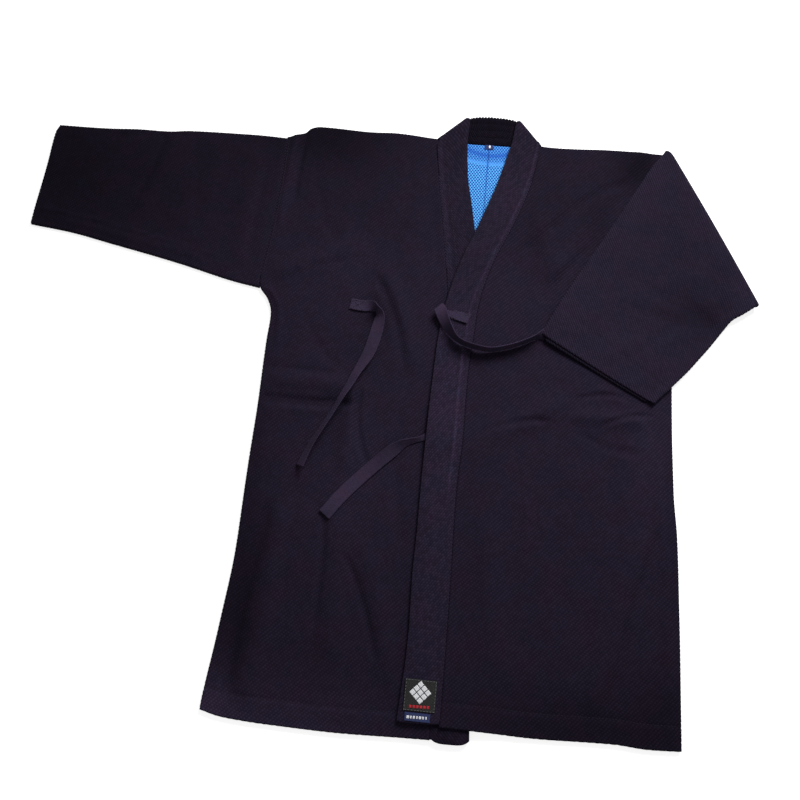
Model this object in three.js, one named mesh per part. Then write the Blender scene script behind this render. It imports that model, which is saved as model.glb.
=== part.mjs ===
// A kendo jacket of thick woven cotton, laid flat on its back: one sleeve spread out,
// the other folded over the front, the wearer's left front crossed over the right.
// Millimetres. X runs towards the wearer's left sleeve, Y towards the neck, Z up off the floor.
// The origin is on the floor, under the middle of the spread jacket.
import * as THREE from "three";

// Thicknesses and clearances
const clothWall = 2.2; // one layer of the woven cloth
const layerSlit = 2.4; // air between two layers that lie on each other
const seamGap = 0.3; // between pieces that are sewn together
const restGap = 0.4; // between a piece and the one it lies on
const bandFoldGap = 0.5; // inside the collar band's fold beside the neck
const hemGap = 1.1; // between front and back at the hem
const bandWall = 4.4; // the collar band, folded of two layers
const liningWall = 1;
const tapeWall = 1.6;
const tapeWidth = 18;
const labelWall = 0.8;

// Levels of the layers, up from the floor
const flatRadius = clothWall + layerSlit / 2; // outer radius of a flat tube's side folds
const frontBase = clothWall + layerSlit; // underside of a front
const frontTop = frontBase + clothWall;
const liningBase = clothWall + seamGap;
const bandBase = liningBase + liningWall + seamGap; // underside of the under band
const overBase = bandBase + bandWall + restGap; // underside of all that crosses over it
const neckBase = bandWall + bandFoldGap; // underside of a band where it folds over its own neck stretch
const edgeBase = clothWall + seamGap; // underside of a front at the side seam
const hemBase = clothWall + hemGap; // underside of a front at its hem

// The body's outline: side seams from shoulder to hem, with the sleeve seam above the armpit
const sideRight = [
  { y: 388, x: -171 },
  { y: 333, x: -171.8 },
  { y: 301, x: -173 },
  { y: 248, x: -176.1 },
  { y: 207, x: -179.6 },
  { y: 165, x: -184 },
  { y: 143, x: -183 },
  { y: 128, x: -171 },
  { y: 107, x: -163 },
  { y: 64, x: -165 },
  { y: -33, x: -166 },
  { y: -131, x: -170 },
  { y: -232, x: -171 },
  { y: -321, x: -178 },
  { y: -411, x: -188 },
  { y: -446, x: -190 },
];
const sideLeft = [
  { y: 410, x: 396.4 },
  { y: 280, x: 410.5 },
  { y: 215, x: 417.6 },
  { y: 170, x: 422.5 },
  { y: 150, x: 424.7 },
  { y: 130, x: 417 },
  { y: 107, x: 407 },
  { y: 30, x: 404 },
  { y: -109, x: 405 },
  { y: -170, x: 409 },
  { y: -325, x: 411 },
  { y: -446, x: 411 },
];
const armholeFoot = { right: 146, left: 150 }; // height of the armpits
const shoulderRight = [
  { x: -190, y: 387 },
  { x: -173, y: 388 },
  { x: -146, y: 396 },
  { x: -138, y: 404 },
  { x: -123, y: 409 },
  { x: -48, y: 407 },
  { x: -2, y: 408 },
  { x: 60, y: 402 },
];
const shoulderLeft = [
  { x: 205, y: 402 },
  { x: 254, y: 401 },
  { x: 305, y: 404 },
  { x: 355, y: 405 },
  { x: 400, y: 404 },
];
const hemRight = [
  { x: -192, y: -430 },
  { x: -161, y: -437 },
  { x: -79, y: -440 },
  { x: -11, y: -441 },
  { x: 111, y: -441 },
];
const hemLeft = [
  { x: 105, y: -425 },
  { x: 159, y: -427 },
  { x: 235, y: -430 },
  { x: 327, y: -429 },
  { x: 368, y: -432 },
  { x: 412, y: -431 },
];
const centreBack = [
  { y: 401, x: 134 },
  { y: -446, x: 111 },
];
const shoulderSeam = {
  // where a front, turned under at the shoulder, meets the back
  right: [
    { x: -190, y: 374 },
    { x: 60, y: 388 },
  ],
  left: [
    { x: 205, y: 388 },
    { x: 400, y: 388 },
  ],
};
const neckline = 399.6; // the back's edge at the neck
const neckRise = 12; // length over which the back's edge steps up from shoulder seam to neckline

// The collar band's edges: "out" is the edge sewn to the front, "in" the free edge
const underBand = [
  { y: 402, out: 57.5, in: 101 },
  { y: 396, out: 57.8, in: 101 },
  { y: 339, out: 65, in: 105 },
  { y: 300, out: 70, in: 112 },
  { y: 258, out: 75, in: 119 },
  { y: 214, out: 80, in: 126 },
  { y: 175, out: 84, in: 131 },
  { y: 144, out: 86, in: 134 },
  { y: -146, out: 93, in: 141 },
  { y: -446, out: 100, in: 149 },
];
const overBand = [
  { y: 401, out: 211, in: 167 },
  { y: 343, out: 200, in: 150 },
  { y: 300, out: 187, in: 136 },
  { y: 260, out: 173, in: 122.5 },
  { y: 201, out: 151, in: 101 },
  { y: 142, out: 132, in: 85 },
  { y: 88, out: 125, in: 77 },
  { y: 47, out: 121, in: 74 },
  { y: -9, out: 119, in: 71 },
  { y: -61, out: 118, in: 69 },
  { y: -122, out: 114, in: 67 },
  { y: -186, out: 113, in: 66 },
  { y: -240, out: 113, in: 64 },
  { y: -330, out: 112, in: 64 },
  { y: -425, out: 110, in: 57 },
];
const bendAt = 150; // where the over band bends most, and the extra room its seam has there
const bendRoom = 0.4;
const underFoot = -445; // the under band's end, just below the over front's hem
const overFoot = -423;
const neckFoldRight = { out: { x: 57.5, y: 403 }, in: { x: 98, y: 444 } };
const neckFoldLeft = { out: { x: 211, y: 403 }, in: { x: 178, y: 445 } };
const neckStripTop = 445.5;
const neckStripGap = 0.6; // between the band's neck stretch and the back's edge
const ridgeWidth = 13; // raised strip along the over band's sewn edge
const ridgeRise = 1.2;
const ridgeEnd = -122;

// Sleeves: the spread right sleeve's edges, and the left one's folded over its crease
const sleeveTop = [
  { x: -173, y: 387 },
  { x: -222, y: 389 },
  { x: -320, y: 388 },
  { x: -350, y: 385 },
  { x: -398, y: 385 },
  { x: -444, y: 383 },
  { x: -522, y: 383 },
];
const sleeveFoot = [
  { x: -183, y: 145 },
  { x: -229, y: 154 },
  { x: -306, y: 174 },
  { x: -412, y: 197 },
  { x: -467, y: 208 },
  { x: -530, y: 217 },
];
const cuffRight = [
  { y: 383, x: -521 },
  { y: 316, x: -524 },
  { y: 240, x: -529 },
  { y: 217, x: -530 },
];
const crease = { top: { x: 409, y: 404 }, foot: { x: 530, y: 171 } };
const creaseRadius = 5.4; // of the middle of the folded tube
const armholeLeft = { top: { x: 397.5, y: 404 }, foot: { x: 425.7, y: 146 } };
const footSlide = 3; // the crease's foot is this much lower on the layer below
const cuffLeft = { top: { x: 219, y: 100 }, foot: { x: 378, y: 10 } };
// How far the folded part's edges lie off straight lines, along its length from the crease
const foldedOff = [
  { t: 0, neck: 0, arm: 0 },
  { t: 0.08, neck: 8.6, arm: 4.2 },
  { t: 0.235, neck: 8.2, arm: 7.7 },
  { t: 0.5, neck: 6.2, arm: 5 },
  { t: 0.75, neck: 5, arm: 2.5 },
  { t: 1, neck: 0, arm: 0 },
];
const overhangDrop = 4.6; // how far the folded sleeve sinks where only the floor is below it

// Largest folds: soft ridges from one end to the other, half their width and their rise
const foldsFrontRight = [
  { x0: -150, y0: 168, x1: -62, y1: 206, half: 16, rise: 3.2 },
  { x0: -4, y0: 168, x1: 44, y1: 54, half: 17, rise: 3.4 },
  { x0: -150, y0: 6, x1: -46, y1: 4, half: 13, rise: 3.4 },
  { x0: -36, y0: -10, x1: -38, y1: -92, half: 12, rise: 2.8 },
  { x0: -118, y0: -190, x1: -134, y1: -392, half: 17, rise: 3.6 },
  { x0: -38, y0: -190, x1: -34, y1: -330, half: 16, rise: 2.8 },
  { x0: 6, y0: -238, x1: 42, y1: -350, half: 14, rise: 2.4 },
];
const foldsFrontLeft = [
  { x0: 190, y0: 330, x1: 236, y1: 206, half: 18, rise: 3 },
  { x0: 180, y0: -40, x1: 236, y1: -6, half: 15, rise: 2.6 },
  { x0: 280, y0: -14, x1: 350, y1: -16, half: 11, rise: 2.8 },
  { x0: 386, y0: -60, x1: 386, y1: -170, half: 10, rise: 1.8 },
  { x0: 366, y0: -190, x1: 306, y1: -372, half: 17, rise: 3.4 },
  { x0: 160, y0: -190, x1: 176, y1: -330, half: 17, rise: 2.4 },
];
const foldsSleeveRight = [
  { x0: -392, y0: 372, x1: -482, y1: 252, half: 15, rise: 3.4 },
  { x0: -332, y0: 372, x1: -368, y1: 262, half: 14, rise: 2.8 },
  { x0: -214, y0: 344, x1: -222, y1: 196, half: 15, rise: 2.4 },
  { x0: -470, y0: 219, x1: -290, y1: 184, half: 10, rise: 1.8 },
];
const foldsSleeveLeft = [
  { x0: 372, y0: 340, x1: 300, y1: 150, half: 18, rise: 2.6 },
  { x0: 440, y0: 200, x1: 500, y1: 214, half: 16, rise: 2.8 },
  { x0: 420, y0: 112, x1: 330, y1: 78, half: 16, rise: 2.4 },
];

// Ties: the tape's middle line, the direction of its width in plan, how far it tips on
// edge (both in degrees) and the height of its middle over what it lies on
const tieOuterRight = [
  { x: -51, y: 126, swing: 80, tip: 0, high: 0 },
  { x: -34, y: 124, swing: 80, tip: 0, high: 0 },
  { x: -20, y: 123, swing: 76, tip: 34, high: 4.6 },
  { x: -12, y: 119, swing: 50, tip: 70, high: 8.4 },
  { x: -8, y: 107, swing: 12, tip: 34, high: 5.4 },
  { x: -11, y: 84, swing: -12, tip: 10, high: 1.9 },
  { x: -18, y: 56, swing: -20, tip: 14, high: 2.4 },
  { x: -29, y: 30, swing: -26, tip: 38, high: 5.7 },
  { x: -41, y: 2, swing: -27, tip: 50, high: 7 },
  { x: -55, y: -25, swing: -30, tip: 60, high: 7.9 },
  { x: -73, y: -59, swing: -30, tip: 66, high: 8.3 },
  { x: -86, y: -84, swing: -28, tip: 69, high: 8.5 },
  { x: -97, y: -113, swing: -24, tip: 68, high: 8.4 },
];
const tieOuterLeft = [
  { x: 116, y: 114, swing: 68, tip: 0, high: 0 },
  { x: 101, y: 118, swing: 66, tip: 0, high: 0 },
  { x: 90, y: 120.5, swing: 62, tip: 0, high: 0.2 },
  { x: 80, y: 122.5, swing: 54, tip: 0, high: 1.4 },
  { x: 73.5, y: 127, swing: 45, tip: 0, high: 4 },
  { x: 77, y: 122.5, swing: 43, tip: 2, high: 4.6 },
  { x: 82.5, y: 110, swing: 43, tip: 8, high: 4.2 },
  { x: 90, y: 95, swing: 46, tip: 32, high: 5.4 },
  { x: 103, y: 79, swing: 58, tip: 76, high: 9 },
  { x: 122, y: 71, swing: 88, tip: 80, high: 9.3 },
  { x: 147, y: 68, swing: 100, tip: 80, high: 9.3 },
  { x: 173, y: 74, swing: 110, tip: 80, high: 9.3 },
  { x: 193, y: 83, swing: 114, tip: 74, high: 9 },
  { x: 206, y: 89.5, swing: 114, tip: 42, high: 6 },
  { x: 219, y: 97, swing: 114, tip: 2, high: 0.5 },
  { x: 238, y: 107, swing: 114, tip: 0, high: 0 },
  { x: 262, y: 118, swing: 114, tip: 0, high: 0 },
];
const tieInner = [
  { x: 112, y: -50, swing: 88, tip: 0, high: 0 },
  { x: 92, y: -52, swing: 88, tip: 0, high: 0 },
  { x: 72, y: -57, swing: 96, tip: 0, high: 0 },
  { x: 54, y: -63, swing: 104, tip: 34, high: 4.8 },
  { x: 40, y: -70, swing: 120, tip: 24, high: 4 },
  { x: 27, y: -82, swing: 128, tip: 4, high: 0.8 },
  { x: 2, y: -104, swing: 132, tip: 0, high: 0.2 },
  { x: -34, y: -143, swing: 139, tip: 0, high: 0 },
  { x: -60, y: -175, swing: 142, tip: 0, high: 0 },
];
const tieRest = 0.6; // under a tie
const tieHumpInner = { y: -53, half: 36, rise: 3.2 }; // what crosses the inner tie lifts over it
const tieHumpSleeve = { x: 242, y: 110, half: 48, rise: 3.8 };

// Labels: middle and size
const labels = {
  maker: { x: 84.5, y: -390, width: 40, height: 38 },
  care: { x: 82.5, y: -415.6, width: 32, height: 10 },
  size: { x: 135, y: 395, width: 14, height: 6.5 },
};
const liningEdges = [
  { y: 400, right: 84, left: 187 },
  { y: 240, right: 104, left: 134 },
];

// Grid sizes: cells across and along each piece
const cells = {
  front: { across: 12, along: 30, turn: 5 },
  back: { shoulder: 7, neck: 2, along: 16 },
  sleeve: { across: 12, turn: 4, along: 13 },
  fold: { fan: 2, turn: 6, along: 12 },
  band: { across: 4, along: 28, turn: 5, neck: 3 },
  tape: { across: 2, along: 34 },
  lining: { across: 1, along: 3 },
};

const { lerp, smoothstep, degToRad } = THREE.MathUtils;

// Smooth curve through a table's rows, in either order of the key column.
function follow(rows, key, at, column) {
  const sorted = rows[0][key] < rows[rows.length - 1][key] ? rows : [...rows].reverse();
  const last = sorted.length - 1;
  let i = 0;
  while (i < last - 1 && at > sorted[i + 1][key]) i += 1;
  const slope = (j) => {
    const a = sorted[Math.max(j - 1, 0)];
    const b = sorted[Math.min(j + 1, last)];
    return (b[column] - a[column]) / (b[key] - a[key]);
  };
  const low = sorted[i];
  const high = sorted[i + 1];
  const span = high[key] - low[key];
  const t = (at - low[key]) / span;
  if (t < 0) return low[column] + slope(i) * t * span;
  if (t > 1) return high[column] + slope(i + 1) * (t - 1) * span;
  const a = slope(i) * span;
  const b = slope(i + 1) * span;
  const rise = high[column] - low[column];
  return low[column] + t * (a + t * (3 * rise - 2 * a - b + t * (a + b - 2 * rise)));
}

// A point u across and v along a panel with curved edges: left and right give x at a y,
// low and high give y at an x.
function insideEdges(edges, u, v) {
  let y = lerp(edges.low(0), edges.high(0), v);
  let x = 0;
  for (let round = 0; round < 8; round += 1) {
    x = lerp(edges.left(y), edges.right(y), u);
    y = lerp(edges.low(x), edges.high(x), v);
  }
  return { x, y };
}

// Height added by soft ridges: highest on the line, gone at twice the half width and past the ends.
function foldRise(folds, x, y) {
  let sum = 0;
  for (const f of folds) {
    const dx = f.x1 - f.x0;
    const dy = f.y1 - f.y0;
    const length = Math.hypot(dx, dy);
    const along = ((x - f.x0) * dx + (y - f.y0) * dy) / length;
    const off = ((x - f.x0) * dy - (y - f.y0) * dx) / length;
    const past = Math.max(-along, along - length, 0);
    sum += f.rise * Math.exp(-((off / f.half) ** 2) - ((past / (1.6 * f.half)) ** 2));
  }
  return sum;
}

// A closed mesh from a grid of middle points: place(u, v) gives the middle point, the unit
// direction of the thickness, and optionally how far the face stands proud.
// A round grid joins its last column to its first.
function clothSolid(name, material, columns, rows, wall, place, round = false) {
  const wide = round ? columns : columns + 1;
  const points = [];
  for (const side of [1, -1]) {
    for (let j = 0; j <= rows; j += 1) {
      for (let i = 0; i < wide; i += 1) {
        const { at, out, proud = 0 } = place(i / columns, j / rows, i, j);
        const reach = (side * wall) / 2 + (side > 0 ? proud : 0);
        points.push(at[0] + out[0] * reach, at[1] + out[1] * reach, at[2] + out[2] * reach);
      }
    }
  }
  const skin = wide * (rows + 1);
  const id = (i, j, inner) => (i % wide) + j * wide + (inner ? skin : 0);
  const index = [];
  const quad = (a, b, c, d) => index.push(a, b, c, a, c, d);
  for (let j = 0; j < rows; j += 1) {
    for (let i = 0; i < columns; i += 1) {
      quad(id(i, j), id(i + 1, j), id(i + 1, j + 1), id(i, j + 1));
      quad(id(i, j, 1), id(i, j + 1, 1), id(i + 1, j + 1, 1), id(i + 1, j, 1));
    }
    if (!round) {
      quad(id(0, j, 1), id(0, j), id(0, j + 1), id(0, j + 1, 1));
      quad(id(columns, j), id(columns, j, 1), id(columns, j + 1, 1), id(columns, j + 1));
    }
  }
  for (let i = 0; i < columns; i += 1) {
    quad(id(i, 0, 1), id(i + 1, 0, 1), id(i + 1, 0), id(i, 0));
    quad(id(i, rows), id(i + 1, rows), id(i + 1, rows, 1), id(i, rows, 1));
  }
  const geometry = new THREE.BufferGeometry();
  geometry.setAttribute("position", new THREE.Float32BufferAttribute(points, 3));
  geometry.setIndex(signedVolume(points, index) < 0 ? index.reverse() : index);
  geometry.computeVertexNormals();
  const mesh = new THREE.Mesh(geometry, material);
  mesh.name = name;
  return mesh;
}

// Six times the volume inside a closed mesh, negative where its faces point in.
function signedVolume(points, index) {
  let sum = 0;
  const corner = (k) => new THREE.Vector3().fromArray(points, 3 * index[k]);
  for (let k = 0; k < index.length; k += 3) {
    sum += corner(k).dot(corner(k + 1).cross(corner(k + 2)));
  }
  return sum;
}

const up = [0, 0, 1];
const down = [0, 0, -1];

// The two fronts: shaped panels whose shoulder edge rolls over and turns under to the back.
const bandOut = (rows) => (y) => follow(rows, "y", y, "out");
const bandIn = (rows) => (y) => follow(rows, "y", y, "in");
const sideEdge = {
  right: (y) => follow(sideRight, "y", y, "x"),
  left: (y) => follow(sideLeft, "y", y, "x"),
};
const shoulderEdge = {
  right: (x) => follow(shoulderRight, "x", x, "y"),
  left: (x) => follow(shoulderLeft, "x", x, "y"),
};
const hemEdge = {
  right: (x) => follow(hemRight, "x", x, "y"),
  left: (x) => follow(hemLeft, "x", x, "y"),
};

// 1 at the neck end of the over band, where it starts to climb over the under band, to 0.
const overClimb = (y) => 1 - smoothstep(y, 278, 350);
const tieHump = (y) => tieHumpInner.rise * Math.exp(-(((y - tieHumpInner.y) / tieHumpInner.half) ** 2));

// Underside of a front: low at the side seam and the hem, raised by the folds.
function frontLow(which, x, y) {
  const inSide = which === "right" ? x - sideEdge.right(y) : sideEdge.left(y) - x;
  const seam = (1 - smoothstep(inSide, 0, 16)) * (1 - smoothstep(y, 95, armholeFoot[which]));
  const overHem = y - hemEdge[which](x);
  const hem = 1 - smoothstep(overHem, 0, 22);
  const edgeFade = smoothstep(inSide, 4, 34) * smoothstep(overHem, 6, 40);
  if (which === "right") {
    const crossed = y < 130 ? bandIn(overBand)(y) : bandOut(underBand)(y);
    const rise = foldRise(foldsFrontRight, x, y) * edgeFade * smoothstep(crossed - x, 3, 30);
    const hemDrop = (frontBase - hemBase) * hem * smoothstep(86 - x, 0, 40);
    return frontBase - Math.max((frontBase - edgeBase) * seam, hemDrop) + rise;
  }
  const fromBand = x - bandOut(overBand)(y);
  const overUnder = (1 - smoothstep(x, 152, 200)) * (1 - smoothstep(y, 165, 230));
  const besideBand = (1 - smoothstep(fromBand, 6, 46)) * overClimb(y);
  const climb = Math.max(overUnder, besideBand);
  const underSleeve = smoothstep(sleeveClear(x, y), 0, 24);
  const rise = foldRise(foldsFrontLeft, x, y) * edgeFade * smoothstep(fromBand, 8, 36) * underSleeve;
  const hemDrop = (frontBase - hemBase) * hem * smoothstep(x, 200, 240);
  const hump = tieHump(y) * (1 - smoothstep(x, 122, 170));
  const drop = Math.max((frontBase - edgeBase) * seam, hemDrop);
  return frontBase + (overBase - frontBase) * climb + hump - drop + rise;
}

// Distance of a point from the folded sleeve's outline, 0 under it.
function sleeveClear(x, y) {
  const away = (a, b) => {
    const dx = b.x - a.x;
    const dy = b.y - a.y;
    return ((x - a.x) * dy - (y - a.y) * dx) / Math.hypot(dx, dy);
  };
  return Math.max(away(crease.top, cuffLeft.top), away(cuffLeft.top, cuffLeft.foot), 0) - 6;
}

function frontPiece(which, material) {
  const inner =
    which === "right"
      ? (y) => bandOut(underBand)(y) - seamGap
      : (y) => bandOut(overBand)(y) + seamGap + bendRoom * Math.exp(-(((y - bendAt) / 60) ** 2));
  const outer = sideEdge[which];
  const roll = flatRadius - clothWall / 2;
  const edges = {
    left: which === "right" ? outer : inner,
    right: which === "right" ? inner : outer,
    low: hemEdge[which],
    high: (x) => shoulderEdge[which](x) - flatRadius,
  };
  const { across, along, turn } = cells.front;
  const rows = along + turn + 1;
  return clothSolid("front_" + which, material, across, rows, clothWall, (u, v, i, j) => {
    const p = insideEdges(edges, u, Math.min(j / along, 1));
    if (j <= along) return { at: [p.x, p.y, frontLow(which, p.x, p.y) + clothWall / 2], out: up };
    const angle = (Math.PI * Math.min(j - along, turn)) / turn;
    const top = frontLow(which, p.x, p.y) + clothWall / 2;
    const middle = (top + clothWall / 2) / 2;
    const seam = follow(shoulderSeam[which], "x", p.x, "y");
    const y = j > along + turn ? seam : p.y + roll * Math.sin(angle);
    return {
      at: [p.x, y, middle + (top - middle) * Math.cos(angle)],
      out: [0, Math.sin(angle), Math.cos(angle)],
    };
  });
}

// The two back panels, flat on the floor, joined at the centre back.
function backPiece(which, material) {
  const centre = (y) => follow(centreBack, "y", y, "x") + (which === "right" ? -seamGap / 2 : seamGap / 2);
  const neckCorner = which === "right" ? neckFoldRight.out.x : neckFoldLeft.out.x;
  const side = sideEdge[which];
  const hem = which === "right" ? hemEdge.right : (x) => hemEdge.left(Math.max(x, hemLeft[0].x));
  const { shoulder, neck, along } = cells.back;
  const columns = shoulder + 1 + neck;
  // Share of the width, from the side, at column k: one column at the neck corner, the next a step on.
  const corner = (neckCorner - side(neckline)) / (centre(neckline) - side(neckline));
  const step = neckRise / Math.abs(centre(neckline) - side(neckline));
  const share = (k) => {
    if (k <= shoulder) return (corner * k) / shoulder;
    return lerp(corner + step, 1, (k - shoulder - 1) / neck);
  };
  return clothSolid("back_" + which, material, columns, along, clothWall, (u, v, i) => {
    const seam = (x) => (i > shoulder ? neckline : follow(shoulderSeam[which], "x", x, "y") - seamGap);
    const edges = {
      left: (y) => lerp(side(y), centre(y), share(i)),
      right: (y) => lerp(side(y), centre(y), share(i)),
      low: hem,
      high: seam,
    };
    const p = insideEdges(edges, 0, v);
    return { at: [p.x, p.y, clothWall / 2], out: up };
  });
}

// The mesh lining of the back, as far as the neck opening shows it.
function liningPiece(which, material) {
  const centre = (y) => follow(centreBack, "y", y, "x") + (which === "right" ? -seamGap / 2 : seamGap / 2);
  const outer = (y) => follow(liningEdges, "y", y, which);
  const edges = {
    left: which === "right" ? outer : centre,
    right: which === "right" ? centre : outer,
    low: () => liningEdges[1].y,
    high: () => neckline,
  };
  const { across, along } = cells.lining;
  return clothSolid("lining_" + which, material, across, along, liningWall, (u, v) => {
    const p = insideEdges(edges, u, v);
    return { at: [p.x, p.y, liningBase + liningWall / 2], out: up };
  });
}

// Point and thickness direction on a flat tube's wall: w runs from the fold at a to the fold
// at b, turn from 0 on the upper layer to pi on the lower one, lift is the tube's own up.
function tubePoint(a, b, middle, w, turn, lift) {
  const dx = b.x - a.x;
  const dy = b.y - a.y;
  const length = Math.hypot(dx, dy);
  const across = [dx / length, dy / length, 0];
  const radius = flatRadius - clothWall / 2;
  const along = flatRadius + w * (length - 2 * flatRadius);
  const out = [0, 1, 2].map((k) => across[k] * Math.sin(turn) + lift[k] * Math.cos(turn));
  const at = [a.x, a.y, 0].map((c, k) => c + across[k] * along + out[k] * radius);
  at[2] += middle;
  return { at, out };
}

// Column i of a flat tube: the upper layer, the fold at b, the lower layer, the fold at a.
function tubeColumn(i) {
  const { across, turn } = cells.sleeve;
  if (i <= across) return { w: i / across, turn: 0 };
  if (i < across + turn) return { w: 1, turn: (Math.PI * (i - across)) / turn };
  if (i <= 2 * across + turn) return { w: 1 - (i - across - turn) / across, turn: Math.PI };
  return { w: 0, turn: Math.PI * (1 + (i - 2 * across - turn) / turn) };
}
const tubeColumns = 2 * (cells.sleeve.across + cells.sleeve.turn);

// The right sleeve, spread flat from the armhole to the cuff.
function spreadSleeve(material) {
  const top = (x) => follow(sleeveTop, "x", x, "y");
  const foot = (x) => follow(sleeveFoot, "x", x, "y");
  const edges = {
    left: (y) => follow(cuffRight, "y", y, "x"),
    right: (y) => sideEdge.right(y) - seamGap - 0.1,
    low: (x) => foot(x) + flatRadius,
    high: (x) => top(x) - flatRadius,
  };
  const { along } = cells.sleeve;
  const radius = flatRadius - clothWall / 2;
  const place = (u, v, i) => {
    const { w, turn } = tubeColumn(i);
    const p = insideEdges(edges, 1 - v, 1 - w);
    const out = [0, -Math.sin(turn), Math.cos(turn)];
    const inside = smoothstep(p.x - edges.left(p.y), 0, 30) * smoothstep(edges.right(p.y) - p.x, 0, 30);
    const rise = turn === 0 ? foldRise(foldsSleeveRight, p.x, p.y) * inside * smoothstep(w, 0, 0.12) : 0;
    const rim = rise * smoothstep(1 - w, 0, 0.08);
    return { at: [p.x, p.y + out[1] * radius, flatRadius + out[2] * radius + rim], out };
  };
  return clothSolid("sleeve_right", material, tubeColumns, along, clothWall, place, true);
}

// The left sleeve: flat from the armhole to its crease, round the crease, and back over the front.
function foldedSleeve(material) {
  const fold = {
    x: crease.foot.x - crease.top.x,
    y: crease.foot.y - crease.top.y,
  };
  const length = Math.hypot(fold.x, fold.y);
  const outward = { x: -fold.y / length, y: fold.x / length };
  const reach = (Math.PI * creaseRadius) / 2;
  const shift = (p, by) => ({ x: p.x + outward.x * by, y: p.y + outward.y * by });
  const mix = (p, q, t) => ({ x: lerp(p.x, q.x, t), y: lerp(p.y, q.y, t) });
  const offLine = (p, q, t, by) => {
    const span = Math.hypot(q.x - p.x, q.y - p.y);
    const side = { x: (q.y - p.y) / span, y: (p.x - q.x) / span };
    return { x: lerp(p.x, q.x, t) + side.x * by, y: lerp(p.y, q.y, t) + side.y * by };
  };
  const near = { top: shift(crease.top, -reach), foot: shift(crease.foot, -reach) };
  near.foot.y -= footSlide;
  const { fan, turn, along } = cells.fold;
  const fullTurn = flatRadius + 2 * creaseRadius;
  const restMiddle = frontTop + restGap + flatRadius;
  const upperMiddle = (x, y) => {
    const off = -((x - crease.top.x) * outward.x + (y - crease.top.y) * outward.y);
    const roll = 1 - smoothstep(off, reach, reach + 80);
    const outside = x - sideEdge.left(y);
    const below = armholeLeft.foot.y + (x - armholeLeft.foot.x) * 0.23 - y;
    const drop = overhangDrop * smoothstep(Math.min(outside, below), 5, 46);
    const tie = Math.hypot(x - tieHumpSleeve.x, y - tieHumpSleeve.y) / tieHumpSleeve.half;
    return lerp(restMiddle - drop, fullTurn, roll) + tieHumpSleeve.rise * Math.exp(-(tie ** 2));
  };
  const place = (u, v, i, j) => {
    const column = tubeColumn(i);
    if (j <= fan) {
      const a = mix(armholeLeft.top, near.top, j / fan);
      const b = mix(armholeLeft.foot, near.foot, j / fan);
      return tubePoint(a, b, flatRadius, column.w, column.turn, up);
    }
    if (j <= fan + turn) {
      const angle = (Math.PI * (j - fan)) / turn;
      const by = -reach + creaseRadius * Math.sin(angle);
      const slide = (j - fan) / turn;
      const foot = { x: crease.foot.x, y: crease.foot.y - footSlide * (1 - slide) };
      const middle = flatRadius + creaseRadius * (1 - Math.cos(angle));
      const lift = [-Math.sin(angle) * outward.x, -Math.sin(angle) * outward.y, Math.cos(angle)];
      return tubePoint(shift(crease.top, by), shift(foot, by), middle, column.w, column.turn, lift);
    }
    const t = (j - fan - turn) / along;
    const a = offLine(near.top, cuffLeft.top, t, follow(foldedOff, "t", t, "neck"));
    const b = offLine(shift(crease.foot, -reach), cuffLeft.foot, t, follow(foldedOff, "t", t, "arm"));
    const p = tubePoint(a, b, 0, column.w, column.turn, down);
    p.at[2] += upperMiddle(p.at[0], p.at[1]);
    const shown = column.turn === Math.PI ? smoothstep(Math.min(column.w, 1 - column.w), 0, 0.1) : 0;
    const inside = smoothstep(t, 0.08, 0.3) * (1 - smoothstep(t, 0.9, 1));
    p.at[2] += foldRise(foldsSleeveLeft, p.at[0], p.at[1]) * shown * inside;
    return p;
  };
  return clothSolid("sleeve_left", material, tubeColumns, fan + turn + along, clothWall, place, true);
}

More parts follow.
